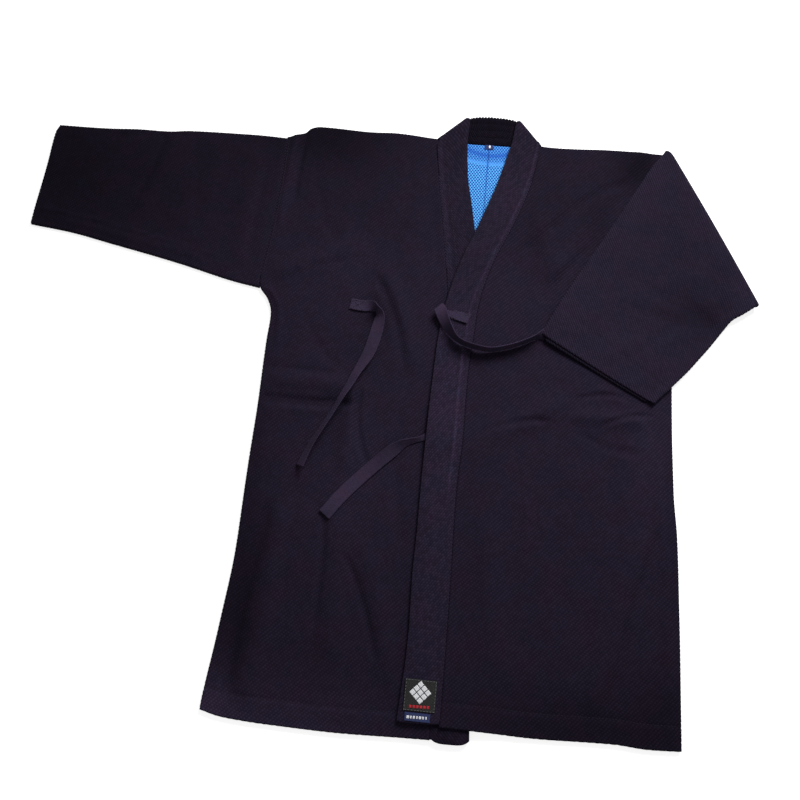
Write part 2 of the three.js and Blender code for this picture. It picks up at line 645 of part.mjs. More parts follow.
// One half of the collar band: from the hem up the front, over its fold beside the neck, and
// back under itself along the neckline to the centre back.
function collarPiece(which, material) {
  const band = which === "right" ? underBand : overBand;
  const foot = which === "right" ? underFoot : overFoot;
  const fold = which === "right" ? neckFoldRight : neckFoldLeft;
  const dx = fold.in.x - fold.out.x;
  const dy = fold.in.y - fold.out.y;
  const length = Math.hypot(dx, dy);
  const towards = which === "right" ? 1 : -1;
  const outward = { x: (-dy / length) * towards, y: (dx / length) * towards };
  const topMiddle = neckBase + bandWall / 2;
  const radius = (topMiddle - bandWall / 2) / 2;
  const reach = (Math.PI * radius) / 2;
  const shift = (p, by) => ({ x: p.x + outward.x * by, y: p.y + outward.y * by });
  const mix = (p, q, t) => ({ x: lerp(p.x, q.x, t), y: lerp(p.y, q.y, t) });
  const near = { out: shift(fold.out, -reach), in: shift(fold.in, -reach) };
  const centre = follow(centreBack, "y", neckline, "x") - (towards * seamGap) / 2;
  const end = {
    out: { x: centre, y: neckline + neckStripGap },
    in: { x: centre, y: neckStripTop },
  };
  const middleAt = (x, y, w) => {
    const base =
      which === "right"
        ? lerp(bandBase, neckBase, smoothstep(y, 362, 396))
        : lerp(neckBase, overBase, overClimb(y));
    const hump = which === "left" ? tieHump(y) : 0;
    const droop = which === "left" ? smoothstep(w, 0.66, 1) * (1 - smoothstep(y, 60, 125)) : 0;
    return base + bandWall / 2 + hump - droop;
  };
  const { across, along, turn, neck } = cells.band;
  const leanRows = 3; // the last rows before the fold lean over to it
  const straight = near.out.y - 60;
  const rows = along + turn + neck;
  const place = (u, v, i, j) => {
    if (j <= along) {
      const level = Math.min(j / (along - leanRows), 1);
      const y = lerp(foot, straight, level);
      const lean = Math.max(j - along + leanRows, 0) / leanRows;
      const out = mix({ x: bandOut(band)(y), y }, near.out, lean);
      const inner = mix({ x: bandIn(band)(y), y }, near.in, lean);
      if (lean > 0 && lean < 1) {
        out.x = bandOut(band)(out.y);
        if (inner.y < 401) inner.x = bandIn(band)(inner.y);
      }
      const p = mix(out, inner, u);
      const proud = which === "left" ? ridgeRise * (u <= 0.25 ? 1 : 0) * smoothstep(p.y, ridgeEnd - 30, ridgeEnd) : 0;
      return { at: [p.x, p.y, lerp(middleAt(p.x, p.y, u), topMiddle, lean)], out: up, proud };
    }
    if (j <= along + turn) {
      const angle = (Math.PI * (j - along)) / turn;
      const by = -reach + radius * Math.sin(angle);
      const p = mix(shift(fold.out, by), shift(fold.in, by), u);
      const out = [Math.sin(angle) * outward.x, Math.sin(angle) * outward.y, Math.cos(angle)];
      const proud = which === "left" ? ridgeRise * (u <= 0.25 ? 1 : 0) * smoothstep(Math.cos(angle), -0.2, 1) : 0;
      return { at: [p.x, p.y, topMiddle - radius * (1 - Math.cos(angle))], out, proud };
    }
    const t = (j - along - turn) / neck;
    const p = mix(mix(near.out, end.out, t), mix(near.in, end.in, t), u);
    return { at: [p.x, p.y, bandWall / 2], out: down };
  };
  return clothSolid("collar_" + which, material, across, rows, bandWall, place);
}

// What a tie lies on, under a point of the plan.
function tieSupport(x, y) {
  const over = x > bandIn(overBand)(y) - 3 && y > 60;
  if (x > bandOut(overBand)(y) + 2 && y > -20) return frontLow("left", x, y) + clothWall;
  if (over) {
    const ridge = x > bandOut(overBand)(y) - ridgeWidth - 6 ? ridgeRise : 0;
    return lerp(neckBase, overBase, overClimb(y)) + bandWall + ridge;
  }
  const front = frontLow("right", Math.min(x, bandOut(underBand)(y)), y) + clothWall;
  return lerp(front, bandBase + bandWall, smoothstep(x, bandOut(underBand)(y) - 14, bandOut(underBand)(y) - 1));
}

// A tie: a tape carried along its middle line, lying flat, tipped on edge or folded back.
function tiePiece(name, rows, material) {
  const last = rows.length - 1;
  const half = tapeWidth / 2;
  const keyed = rows.map((row, k) => ({ ...row, k }));
  const value = (column, v) => follow(keyed, "k", v * last, column);
  const support = keyed.map((row) => {
    const swing = degToRad(row.swing);
    const reach = half * Math.cos(degToRad(row.tip));
    const spots = [-1, -0.5, 0, 0.5, 1].map((s) =>
      tieSupport(row.x + Math.cos(swing) * reach * s, row.y + Math.sin(swing) * reach * s),
    );
    return { k: row.k, z: Math.max(...spots) };
  });
  const centre = (v) =>
    new THREE.Vector3(
      value("x", v),
      value("y", v),
      follow(support, "k", v * last, "z") + tieRest + tapeWall / 2 + Math.max(value("high", v), 0),
    );
  const { across, along } = cells.tape;
  return clothSolid(name, material, across, along, tapeWall, (u, v) => {
    const swing = degToRad(value("swing", v));
    const tip = degToRad(value("tip", v));
    const width = new THREE.Vector3(
      Math.cos(swing) * Math.cos(tip),
      Math.sin(swing) * Math.cos(tip),
      Math.sin(tip),
    );
    const step = 0.004;
    const tangent = centre(Math.min(v + step, 1)).sub(centre(Math.max(v - step, 0))).normalize();
    const out = width.clone().cross(tangent).normalize();
    return { at: centre(v).addScaledVector(width, (u - 0.5) * tapeWidth).toArray(), out: out.toArray() };
  });
}

// A flat label on what it is sewn to.
function labelPiece(name, size, base, material) {
  return clothSolid(name, material, 2, 2, labelWall, (u, v) => ({
    at: [size.x + (u - 0.5) * size.width, size.y + (v - 0.5) * size.height, base + labelWall / 2],
    out: up,
  }));
}

const finish = (color, roughness) => new THREE.MeshStandardMaterial({ color, roughness, metalness: 0 });
const indigo = () => finish(0x1c1625, 0.92);
const bandCloth = () => finish(0x2a2335, 0.9);
const tapeCloth = () => finish(0x352d42, 0.88);
const meshCloth = () => finish(0x5fb0f2, 0.8);

const jacket = new THREE.Group();
jacket.name = "kendo_jacket";
for (const which of ["right", "left"]) {
  jacket.add(backPiece(which, indigo()));
  jacket.add(liningPiece(which, meshCloth()));
  jacket.add(frontPiece(which, indigo()));
  jacket.add(collarPiece(which, bandCloth()));
}
jacket.add(spreadSleeve(indigo()));
jacket.add(foldedSleeve(indigo()));
jacket.add(tiePiece("tie_outer_right", tieOuterRight, tapeCloth()));
jacket.add(tiePiece("tie_outer_left", tieOuterLeft, tapeCloth()));
jacket.add(tiePiece("tie_inner", tieInner, tapeCloth()));
const bandTop = overBase + bandWall + seamGap;
jacket.add(labelPiece("label_maker", labels.maker, bandTop, finish(0x101014, 0.7)));
jacket.add(labelPiece("label_care", labels.care, bandTop, finish(0x1a1e38, 0.7)));
jacket.add(labelPiece("label_size", labels.size, liningBase + liningWall + seamGap, finish(0x1a1e38, 0.7)));

export default jacket;
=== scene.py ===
import math
import bpy
import mathutils
import numpy as np
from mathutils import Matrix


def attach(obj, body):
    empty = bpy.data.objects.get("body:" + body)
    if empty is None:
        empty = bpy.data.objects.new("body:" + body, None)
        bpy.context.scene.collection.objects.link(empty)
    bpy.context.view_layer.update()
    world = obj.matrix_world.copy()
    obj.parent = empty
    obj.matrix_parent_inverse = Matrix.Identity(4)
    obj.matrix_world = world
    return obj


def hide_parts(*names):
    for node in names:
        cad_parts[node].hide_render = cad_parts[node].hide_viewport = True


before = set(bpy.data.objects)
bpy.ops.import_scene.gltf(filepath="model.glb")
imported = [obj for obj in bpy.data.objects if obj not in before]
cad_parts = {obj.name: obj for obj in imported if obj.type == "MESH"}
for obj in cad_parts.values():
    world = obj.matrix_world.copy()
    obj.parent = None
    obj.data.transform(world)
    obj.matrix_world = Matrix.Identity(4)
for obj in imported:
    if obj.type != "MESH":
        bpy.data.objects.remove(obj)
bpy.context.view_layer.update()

mm = 0.001

# Thicknesses and levels, as in the solids
cloth = {
    "wall": 2.2,  # one layer of the woven cloth
    "slit": 2.4,  # air between two layers that lie on each other
    "seam": 0.3,  # between pieces that are sewn together
    "rest": 0.4,  # between a piece and the one it lies on
    "band": 4.4,  # the collar band, folded of two layers
    "tape": 1.6,
    "tapeWidth": 18,
    "scallop": 0.6,  # how far the ribs stand out along an edge
    "scallopPitch": 5.6,
}
flatRadius = cloth["wall"] + cloth["slit"] / 2
frontBase = cloth["wall"] + cloth["slit"]
frontTop = frontBase + cloth["wall"]
liningBase = cloth["wall"] + cloth["seam"]
bandBase = liningBase + 1 + cloth["seam"]
overBase = bandBase + cloth["band"] + cloth["rest"]
neckBase = cloth["band"] + 0.5
edgeBase = cloth["wall"] + cloth["seam"]
hemBase = cloth["wall"] + 1.1


def smooth(low, high, value):
    # 0 below low, 1 above high, 3t^2 - 2t^3 between them.
    t = np.clip((value - low) / (high - low), 0, 1)
    return t * t * (3 - 2 * t)


def curve(*rows):
    # Smooth curve through rows of (key, value): a cubic on each span, whose end slopes are those
    # between the neighbouring rows, carried on straight past both ends.
    key, value = np.array(sorted(rows), float).T
    last = len(key) - 1
    spot = np.arange(last + 1)
    before = np.maximum(spot - 1, 0)
    after = np.minimum(spot + 1, last)
    slope = (value[after] - value[before]) / (key[after] - key[before])

    def at(t):
        # The curve's value at t.
        t = np.asarray(t, float)
        i = np.clip(np.searchsorted(key, t, side="right") - 1, 0, last - 1)
        span = key[i + 1] - key[i]
        s = (t - key[i]) / span
        a = slope[i] * span
        b = slope[i + 1] * span
        rise = value[i + 1] - value[i]
        inside = value[i] + s * (a + s * (3 * rise - 2 * a - b + s * (a + b - 2 * rise)))
        return np.where(s < 0, value[i] + a * s, np.where(s > 1, value[i + 1] + b * (s - 1), inside))

    return at


# The body's outline: rows of (y, x) for the sides, (x, y) for shoulders and hems
sideEdge = {
    "right": curve(
        (388, -171), (333, -171.8), (301, -173), (248, -176.1), (207, -179.6), (165, -184),
        (143, -183), (128, -171), (107, -163), (64, -164), (-33, -165), (-131, -168),
        (-232, -170), (-321, -178), (-411, -188), (-446, -190),
    ),
    "left": curve(
        (410, 396.4), (280, 410.5), (215, 417.6), (170, 422.5), (150, 424.7), (130, 417),
        (107, 407), (30, 404), (-109, 405), (-170, 409), (-325, 411), (-446, 411),
    ),
}
armholeFoot = {"right": 146, "left": 150}
shoulderEdge = {
    "right": curve(
        (-190, 387), (-173, 388.5), (-146, 397.5), (-138, 405.5), (-123, 410), (-48, 407), (-2, 408),
        (60, 402),
    ),
    "left": curve((205, 402), (254, 401), (305, 403.5), (355, 403.5), (400, 401.6)),
}
hemEdge = {
    "right": curve((-192, -427), (-161, -434.5), (-79, -440), (-11, -442), (111, -441)),
    "left": curve((105, -425), (159, -427), (235, -430), (327, -429), (368, -432), (412, -431)),
}
shoulderSeam = {
    "right": curve((-190, 374), (60, 388)),
    "left": curve((205, 388), (400, 388)),
}
centreBack = curve((401, 134), (-446, 111))
neckline = 398.4

# The collar band's edges at each height: "out" is sewn to the front, "in" is free
underBand = {
    "out": curve(
        (402, 55.4), (396, 54.6), (339, 61.6), (300, 67), (258, 73), (214, 79), (175, 83.6),
        (144, 86), (-146, 93), (-446, 100),
    ),
    "in": curve(
        (402, 101), (396, 101), (339, 105), (300, 112), (258, 119), (214, 126), (175, 131),
        (144, 134), (-146, 141), (-446, 149),
    ),
}
overBand = {
    "out": curve(
        (401, 211), (343, 200), (300, 187), (260, 172), (201, 146.8), (142, 130.6), (88, 125),
        (47, 121), (-9, 119), (-61, 118), (-122, 114), (-186, 113), (-240, 113), (-330, 112),
        (-425, 110),
    ),
    "in": curve(
        (401, 167), (343, 151.8), (300, 138), (260, 123.6), (201, 101), (142, 85), (88, 77),
        (47, 74), (-9, 71), (-61, 69), (-122, 67), (-186, 66), (-240, 64), (-330, 64),
        (-425, 57),
    ),
}
bendAt = 150
neckTuck = 3.2  # how far the fronts reach under the band at its neck fold
bendRoom = 0.4
tieHumpInner = {"y": -53, "half": 36, "rise": 3.2}
tieHumpSleeve = {"x": 242, "y": 110, "half": 48, "rise": 3.8}
crease = {"top": (405.1, 405.2), "foot": (528.9, 170.4)}
cuffLeft = {"top": (219, 100), "foot": (378, 10)}


def insideEdges(left, right, low, high, u, v):
    # The point u across and v along a panel with curved edges: x = left(y) + u * width at y and
    # y = low(x) + v * length at x, found by turns.
    y = low(0) + (high(0) - low(0)) * v + 0 * u
    for step in range(8):
        x = left(y) + (right(y) - left(y)) * u
        y = low(x) + (high(x) - low(x)) * v
    return x, y


def foldRise(rows, x, y, flank=0.0):
    # Sum of soft ridges (rise > 0) and troughs: rise * exp(-(off/half)^2 - (past/(1.6 half))^2), off
    # being the distance from a middle line bowed by "bow", past the distance beyond its ends. With
    # flank it is times 1 - flank (off/half)^2, which sets a small opposite fold on either side.
    total = 0 * (x + y)
    for x0, y0, x1, y1, half, rise, bow in rows:
        dx = x1 - x0
        dy = y1 - y0
        length = math.hypot(dx, dy)
        along = ((x - x0) * dx + (y - y0) * dy) / length
        off = ((x - x0) * dy - (y - y0) * dx) / length
        off = off - bow * (1 - np.minimum((2 * along / length - 1) ** 2, 2))
        past = np.maximum(np.maximum(-along, along - length), 0)
        spread = (off / half) ** 2
        total = total + rise * (1 - flank * spread) * np.exp(-spread - (past / (1.6 * half)) ** 2)
    return total


# Slow unevenness of cloth that lies loose: (wave length, heading in degrees, start, height)
unevenness = [
    (97, 24, 0.4, 0.34),
    (66, 71, 1.9, 0.26),
    (49, 118, 4.1, 0.2),
    (37, 152, 2.7, 0.15),
    (28, 46, 5.2, 0.1),
    (21, 99, 0.9, 0.07),
]


def ripple(x, y):
    # Sum of height * sin(2 pi * distance along the heading / wave length + start).
    total = 0 * (x + y)
    for wave, heading, start, height in unevenness:
        turn = math.radians(heading)
        total = total + height * np.sin(
            2 * math.pi * (x * math.cos(turn) + y * math.sin(turn)) / wave + start
        )
    return total


def scallop(s, start=0.0):
    # Ribs that end at an edge: height * |sin(pi s / pitch)|, a little uneven along it.
    uneven = 0.75 + 0.25 * np.sin(s / 17.3 + start)
    return cloth["scallop"] * uneven * np.abs(np.sin(math.pi * s / cloth["scallopPitch"] + start))


def overClimb(y):
    # 1 where the over band lies on the under band, 0 at its neck end.
    return 1 - smooth(278, 350, y)


def tieHump(y):
    # Rise of the over band where the inner tie runs under it: rise * exp(-((y - y0)/half)^2).
    return tieHumpInner["rise"] * np.exp(-(((y - tieHumpInner["y"]) / tieHumpInner["half"]) ** 2))


def sleeveClear(x, y):
    # Distance of a point from the folded sleeve's outline, negative under it.
    def away(a, b):
        # Signed distance from the line through a and b.
        dx = b[0] - a[0]
        dy = b[1] - a[1]
        return ((x - a[0]) * dy - (y - a[1]) * dx) / math.hypot(dx, dy)

    return np.maximum(away(crease["top"], cuffLeft["top"]), away(cuffLeft["top"], cuffLeft["foot"])) - 6


# Folds of the fronts: ends, half width, rise and bow. The first rows are the solids' own.
frontFolds = {
    "right": [
        (-150, 168, -62, 206, 18, 2.0, 0),
        (-4, 168, 44, 54, 18, 2.6, 0),
        (-150, 6, -46, 4, 14, 3.4, 0),
        (-36, -10, -38, -92, 12, 3.3, 0),
        (-118, -190, -134, -392, 17, 3.6, 0),
        (-38, -190, -34, -330, 16, 2.8, 0),
        (6, -238, 42, -350, 14, 2.4, 0),
    ],
    "left": [
        (190, 330, 236, 206, 18, 3, 0),
        (180, -40, 236, -6, 15, 2.6, 0),
        (280, -14, 350, -16, 11, 2.8, 0),
        (386, -60, 386, -170, 10, 1.8, 0),
        (366, -190, 306, -372, 17, 3.4, 0),
        (160, -190, 176, -330, 17, 2.4, 0),
    ],
}
fineFolds = {
    "right": [
        (-168, -20, -48, -22, 8, -3.4, 2),
        (-160, 24, -72, 20, 7, -1.0, -2),
        (-8, 156, 27, 60, 9, -2.4, -4),
        (-27, -4, -12, -92, 6, -2.6, 6),
        (-160, 152, -74, 190, 9, -1.0, -3),
        (-136, -186, -160, -388, 12, -2.4, 5),
        (-58, -186, -58, -312, 6, -1.8, -2),
        (-20, -236, 20, -340, 6, -1.8, -3),
        (-96, -150, -104, -262, 9, -1.1, 3),
        (30, -90, 44, -190, 9, -0.9, 3),
        (-158, 396, -168, 252, 8, 1.7, 2),
        (-142, 400, -149, 290, 5, -1.9, 1),
        (-170, 140, -150, 96, 4, 1.2, -5),
        (-150, 96, -148, 62, 4, 0.9, 0),
        (-120, 330, -92, 240, 12, -0.9, 4),
        (20, 330, 2, 214, 11, -0.8, -4),
        (-60, 330, -70, 250, 13, 0.8, 3),
        (-110, 96, -70, 40, 10, -0.9, 4),
        (40, 20, 20, -40, 9, -0.8, -3),
    ],
    "left": [
        (284, 14, 336, 18, 5, -1.8, -3),
        (318, -20, 382, -4, 5, -1.6, -3),
        (288, -44, 350, -60, 8, -1.0, 4),
        (150, -46, 222, -24, 7, -2.0, -4),
        (380, -176, 330, -356, 8, -2.2, 4),
        (142, -250, 152, -390, 11, -1.2, 3),
        (386, 396, 262, 178, 13, -2.2, 0),
        (352, 388, 246, 204, 12, 1.6, 5),
        (326, 344, 238, 274, 9, -1.9, 5),
        (240, 276, 202, 236, 8, -1.3, 0),
        (236, 344, 190, 300, 12, 1.4, 0),
        (300, 250, 226, 160, 8, -1.1, 4),
        (214, 70, 176, 20, 11, -1.0, 4),
        (250, -120, 262, -260, 14, -0.9, 6),
        (210, -150, 200, -250, 11, 0.8, -5),
        (330, -90, 326, -180, 12, -0.9, 4),
        (300, -290, 286, -380, 11, -0.8, 3),
    ],
}
foldScale = 1.45  # of the folds over the solids' own
hemTurn = 29  # height of the hem's stitch line
sideTurn = 26  # its distance from the side seam
cuffTurn = 26  # its distance from a cuff
bandSide = {"right": 1.2, "left": 1.1, "reach": 12}  # how far the fronts rise beside the bands
leastGap = 0.35  # between a trough and the back under it


def grooveAt(distance, half, depth):
    # Pulled-in line of stitches: -depth * exp(-(distance/half)^2).
    return -depth * np.exp(-((distance / half) ** 2))


def turnedHem(inSide, overHem, side):
    # The doubled hem and side facing: up by their wall's share inside the stitch line, with a groove.
    doubled = 0.55 * (1 - smooth(hemTurn - 3, hemTurn + 2, overHem))
    doubled = np.maximum(doubled, 0.4 * (1 - smooth(sideTurn - 3, sideTurn + 2, inSide)) * side)
    stitched = grooveAt(overHem - hemTurn, 2.4, 0.75) + grooveAt(inSide - sideTurn, 2.2, 0.55) * side
    return doubled + stitched


def heldUp(low, floorLevel):
    # Soft floor for a trough: level + 0.8 log(1 + exp((low - level) / 0.8)), never under the level.
    return np.where(low > floorLevel + 8, low, floorLevel + 0.8 * np.log1p(np.exp((low - floorLevel) / 0.8)))


def frontLow(which, x, y):
    # Underside of a front: its base level, less the drop at side seam and hem, plus folds and the
    # climb over the under band.
    right = which == "right"
    inSide = x - sideEdge["right"](y) if right else sideEdge["left"](y) - x
    overHem = y - hemEdge[which](x)
    seam = (1 - smooth(0, 16, inSide)) * (1 - smooth(95, armholeFoot[which], y))
    hem = 1 - smooth(0, 22, overHem)
    edgeFade = smooth(4, 34, inSide) * smooth(6, 40, overHem)
    fineFade = smooth(1, 12, inSide) * smooth(2, 30, overHem) * smooth(0, 14, 408 - y)
    below = (1 - smooth(60, 130, y)) if right else (1 - smooth(-20, 60, y))
    if right:
        crossed = np.where(y < 130, overBand["in"](y), underBand["out"](y))
        room = smooth(3, 30, crossed - x)
        rise = foldScale * foldRise(frontFolds["right"], x, y) * edgeFade * room
        fine = foldScale * foldRise(fineFolds["right"], x, y, 0.9) + ripple(x, y)
        fine = fine * fineFade * smooth(0, 16, crossed - x)
        fine = fine + turnedHem(inSide, overHem, below) * smooth(-6, 6, crossed - x)
        hemDrop = (frontBase - hemBase) * hem * smooth(0, 40, 86 - x)
        low = frontBase - np.maximum((frontBase - edgeBase) * seam, hemDrop) + rise
        low = low + bandSide["right"] * (1 - smooth(0, bandSide["reach"], underBand["out"](y) - x))
        return heldUp(low + fine, cloth["wall"] + leastGap)
    fromBand = x - overBand["out"](y)
    overUnder = (1 - smooth(152, 200, x)) * (1 - smooth(165, 230, y))
    besideBand = (1 - smooth(6, 46, fromBand)) * overClimb(y)
    climb = np.maximum(overUnder, besideBand)
    underSleeve = smooth(8, 30, sleeveClear(x, y))
    rise = foldScale * foldRise(frontFolds["left"], x, y) * edgeFade * smooth(8, 36, fromBand) * underSleeve
    fine = (foldScale * foldRise(fineFolds["left"], x, y, 0.9) + ripple(x, y)) * fineFade
    fine = fine * smooth(3, 16, sleeveClear(x, y)) * (1 - 0.9 * climb)
    fine = fine + turnedHem(inSide, overHem, below) * (1 - smooth(0, 6, -sleeveClear(x, y)))
    hemDrop = (frontBase - hemBase) * hem * smooth(200, 240, x)
    hump = tieHump(y) * (1 - smooth(122, 170, x))
    low = frontBase + (overBase - frontBase) * climb + hump
    low = low - np.maximum((frontBase - edgeBase) * seam, hemDrop) + rise
    low = low + bandSide["left"] * (1 - smooth(0, bandSide["reach"], fromBand))
    return heldUp(low + fine, cloth["wall"] + leastGap)


# Painted light and shade: soft lighter and darker places for the light's falloff towards the edges, shade in
# folds and beside the folded sleeve, and a lighter lower corner: (x, y, reach across, reach along, gain)
paintedLightPlaces = [
    (-540, 320, 200, 200, -0.58),
    (-300, 300, 160, 160, -0.19),
    (-60, 410, 230, 170, -0.26),
    (-110, 400, 110, 60, -0.36),
    (270, 400, 170, 190, -0.3),
    (364, 380, 44, 54, -0.44),
    (213, 270, 60, 70, -0.12),
    (-34, 257, 90, 70, -0.13),
    (304, 268, 26, 66, -0.16),
    (-10, 110, 26, 60, -0.16),
    (-62, 196, 60, 60, 0.12),
    (-160, 330, 13, 90, 0.16),
    (-165, -60, 26, 120, -0.12),
    (-30, -120, 70, 90, 0.22),
    (-154, -290, 24, 120, -0.42),
    (-196, -440, 50, 56, 1.15),
    (-90, -446, 130, 44, 0.66),
    (396, -250, 20, 130, -0.06),
    (372, -60, 26, 80, 0.22),
    (280, -415, 150, 50, -0.3),
    (396, -390, 60, 60, -0.2),
]


def paintedLightGain(x, y, places=paintedLightPlaces):
    # Gain of the painted light and shade: 1 + sum of gain * exp(-((x - x0)/across)^2 - ((y - y0)/along)^2),
    # kept above 0.3.
    total = 1 + 0 * (x + y)
    for x0, y0, across, along, gain in places:
        total = total + gain * np.exp(-(((x - x0) / across) ** 2) - ((y - y0) / along) ** 2)
    return np.maximum(total, 0.3)


print("stage: shapes of the cloth worked out")


def shell(name, middle, out, wall, flat, material, proud=0, under=0, ring=False, shade=1):
    # Closed shell on a grid of middle points: one skin at middle + out * (wall/2 + proud), the other
    # at middle - out * (wall/2 + under), and walls along the open edges. A ring joins its last
    # column to its first. All in millimetres, flat is the cut's own plane for the weave.
    rows, columns = middle.shape[:2]
    size = rows * columns
    reach = np.broadcast_to(wall / 2 + proud, (rows, columns))[..., None]
    depth = np.broadcast_to(wall / 2 + under, (rows, columns))[..., None]
    points = np.concatenate([(middle + out * reach).reshape(-1, 3), (middle - out * depth).reshape(-1, 3)])
    vertexAt = np.arange(size).reshape(rows, columns)
    if ring:
        vertexAt = np.concatenate([vertexAt, vertexAt[:, :1]], axis=1)
    flatAt = np.arange(rows * vertexAt.shape[1]).reshape(rows, -1)

    def quads(at, back):
        # Faces over a grid of upper vertices, with the lower ones and the rim between them.
        upper = [at[:-1, :-1], at[:-1, 1:], at[1:, 1:], at[1:, :-1]]
        lower = [upper[0], upper[3], upper[2], upper[1]]
        parts = [np.stack(upper, -1).reshape(-1, 4), np.stack(lower, -1).reshape(-1, 4) + back]
        low, high = at[0], at[-1]
        parts.append(np.stack([low[1:], low[:-1], low[:-1] + back, low[1:] + back], -1))
        parts.append(np.stack([high[:-1], high[1:], high[1:] + back, high[:-1] + back], -1))
        if not ring:
            first, last = at[:, 0], at[:, -1]
            parts.append(np.stack([first[:-1], first[1:], first[1:] + back, first[:-1] + back], -1))
            parts.append(np.stack([last[1:], last[:-1], last[:-1] + back, last[1:] + back], -1))
        return np.concatenate(parts)

    faces = quads(vertexAt, size)
    corners = quads(flatAt, 0)
    a, b, c = (points[faces[:, k]] for k in range(3))
    if np.einsum("ij,ij->", a, np.cross(b, c)) < 0:
        faces = faces[:, ::-1]
        corners = corners[:, ::-1]
    mesh = bpy.data.meshes.new(name)
    mesh.vertices.add(len(points))
    mesh.vertices.foreach_set("co", (points * mm).ravel())
    mesh.loops.add(faces.size)
    mesh.loops.foreach_set("vertex_index", np.ascontiguousarray(faces).ravel())
    mesh.polygons.add(len(faces))
    mesh.polygons.foreach_set("loop_start", np.arange(0, faces.size, 4))
    mesh.polygons.foreach_set("use_smooth", np.ones(len(faces), bool))
    uv = mesh.uv_layers.new(name="cut")
    uv.data.foreach_set("uv", (flat.reshape(-1, 2)[corners.ravel()] * mm).ravel())
    mesh.update(calc_edges=True)
    mesh.validate()
    # Per-point gain of the colour: painted light and shade on the cloth, and on the lining its darker zones
    # and seam line
    paintedShadeAndMarks = mesh.attributes.new("paintedShadeAndMarks", "FLOAT", "POINT")
    paintedShadeAndMarks.data.foreach_set("value", np.tile(np.broadcast_to(shade, (rows, columns)).ravel(), 2).astype(float))
    mesh.materials.append(material)
    piece = bpy.data.objects.new(name, mesh)
    bpy.context.scene.collection.objects.link(piece)
    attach(piece, "root")
    return piece


def put(tree, kind, inputs=None, **settings):
    # A new node of a kind, with sockets linked or filled and its settings set.
    made = tree.nodes.new(kind)
    for key, value in settings.items():
        setattr(made, key, value)
    for key, value in (inputs or {}).items():
        if isinstance(value, bpy.types.NodeSocket):
            tree.links.new(value, made.inputs[key])
        else:
            made.inputs[key].default_value = value
    return made


def calc(tree, operation, *values):
    # The result of one step of arithmetic on sockets and numbers.
    return put(tree, "ShaderNodeMath", dict(enumerate(values)), operation=operation).outputs[0]


def newGroup(name, inputs, outputs):
    # An empty node group with its named inputs and outputs.
    group = bpy.data.node_groups.new(name, "ShaderNodeTree")
    for label, kind, value in inputs:
        socket = group.interface.new_socket(name=label, in_out="INPUT", socket_type=kind)
        socket.default_value = value
    for label, kind in outputs:
        group.interface.new_socket(name=label, in_out="OUTPUT", socket_type=kind)
    return group, group.nodes.new("NodeGroupInput"), group.nodes.new("NodeGroupOutput")


def weaveGroup():
    # Diagonal ribs of small grains: rib = (1 + cos(2 pi p)) / 2 with p = place . acrossRibs, grain the
    # same with q = place . alongRibs, half a grain on in every other rib, and
    # height = rib * (1 - notch + notch * grain) + fibre noise. Fleck is a chance value for each grain.
    group, given, result = newGroup(
        "ribbedWeave",
        [
            ("Place", "NodeSocketVector", (0, 0, 0)),
            ("Across ribs", "NodeSocketVector", (180, 180, 0)),
            ("Along ribs", "NodeSocketVector", (-220, 220, 0)),
            ("Notch", "NodeSocketFloat", 0.5),
            ("Wander", "NodeSocketFloat", 0.0009),
        ],
        [("Height", "NodeSocketFloat"), ("Fleck", "NodeSocketFloat")],
    )
    noise = put(group, "ShaderNodeTexNoise", {"Vector": given.outputs["Place"], "Scale": 95.0, "Detail": 1.0})
    centred = put(
        group, "ShaderNodeVectorMath", {0: noise.outputs["Color"], 1: (0.5, 0.5, 0.5)}, operation="SUBTRACT"
    )
    moved = put(
        group, "ShaderNodeVectorMath", {0: centred.outputs[0], "Scale": given.outputs["Wander"]},
        operation="SCALE",
    )
    place = put(
        group, "ShaderNodeVectorMath", {0: given.outputs["Place"], 1: moved.outputs[0]}, operation="ADD"
    ).outputs[0]
    p = put(
        group, "ShaderNodeVectorMath", {0: place, 1: given.outputs["Across ribs"]}, operation="DOT_PRODUCT"
    ).outputs["Value"]
    q = put(
        group, "ShaderNodeVectorMath", {0: place, 1: given.outputs["Along ribs"]}, operation="DOT_PRODUCT"
    ).outputs["Value"]
    number = calc(group, "FLOOR", calc(group, "ADD", p, 0.5))
    shifted = calc(group, "ADD", q, calc(group, "MULTIPLY", number, 0.5))
    ribWave = calc(group, "COSINE", calc(group, "MULTIPLY", p, 2 * math.pi))
    rib = calc(group, "MULTIPLY_ADD", ribWave, 0.5, 0.5)
    grainWave = calc(group, "COSINE", calc(group, "MULTIPLY", shifted, 2 * math.pi))
    grain = calc(group, "MULTIPLY_ADD", grainWave, 0.5, 0.5)
    notch = given.outputs["Notch"]
    kept = calc(group, "SUBTRACT", 1.0, notch)
    body = calc(group, "MULTIPLY", rib, calc(group, "MULTIPLY_ADD", notch, grain, kept))
    fibre = put(group, "ShaderNodeTexNoise", {"Vector": place, "Scale": 1500.0, "Detail": 2.0})
    height = calc(group, "MULTIPLY_ADD", fibre.outputs[0], 0.22, body)
    grainNumber = calc(group, "FLOOR", calc(group, "ADD", shifted, 0.5))
    cell = put(group, "ShaderNodeCombineXYZ", {0: number, 1: grainNumber})
    chance = put(group, "ShaderNodeTexWhiteNoise", {"Vector": cell.outputs[0]}, noise_dimensions="2D")
    group.links.new(height, result.inputs["Height"])
    group.links.new(chance.outputs["Value"], result.inputs["Fleck"])
    return group


weave = weaveGroup()


def ribs(heading, pitch, grainPitch):
    # Cycles per metre across ribs that run at the heading (degrees), and along them.
    turn = math.radians(heading)
    across = (-math.sin(turn) / (pitch * mm), math.cos(turn) / (pitch * mm), 0)
    along = (math.cos(turn) / (grainPitch * mm), math.sin(turn) / (grainPitch * mm), 0)
    return across, along


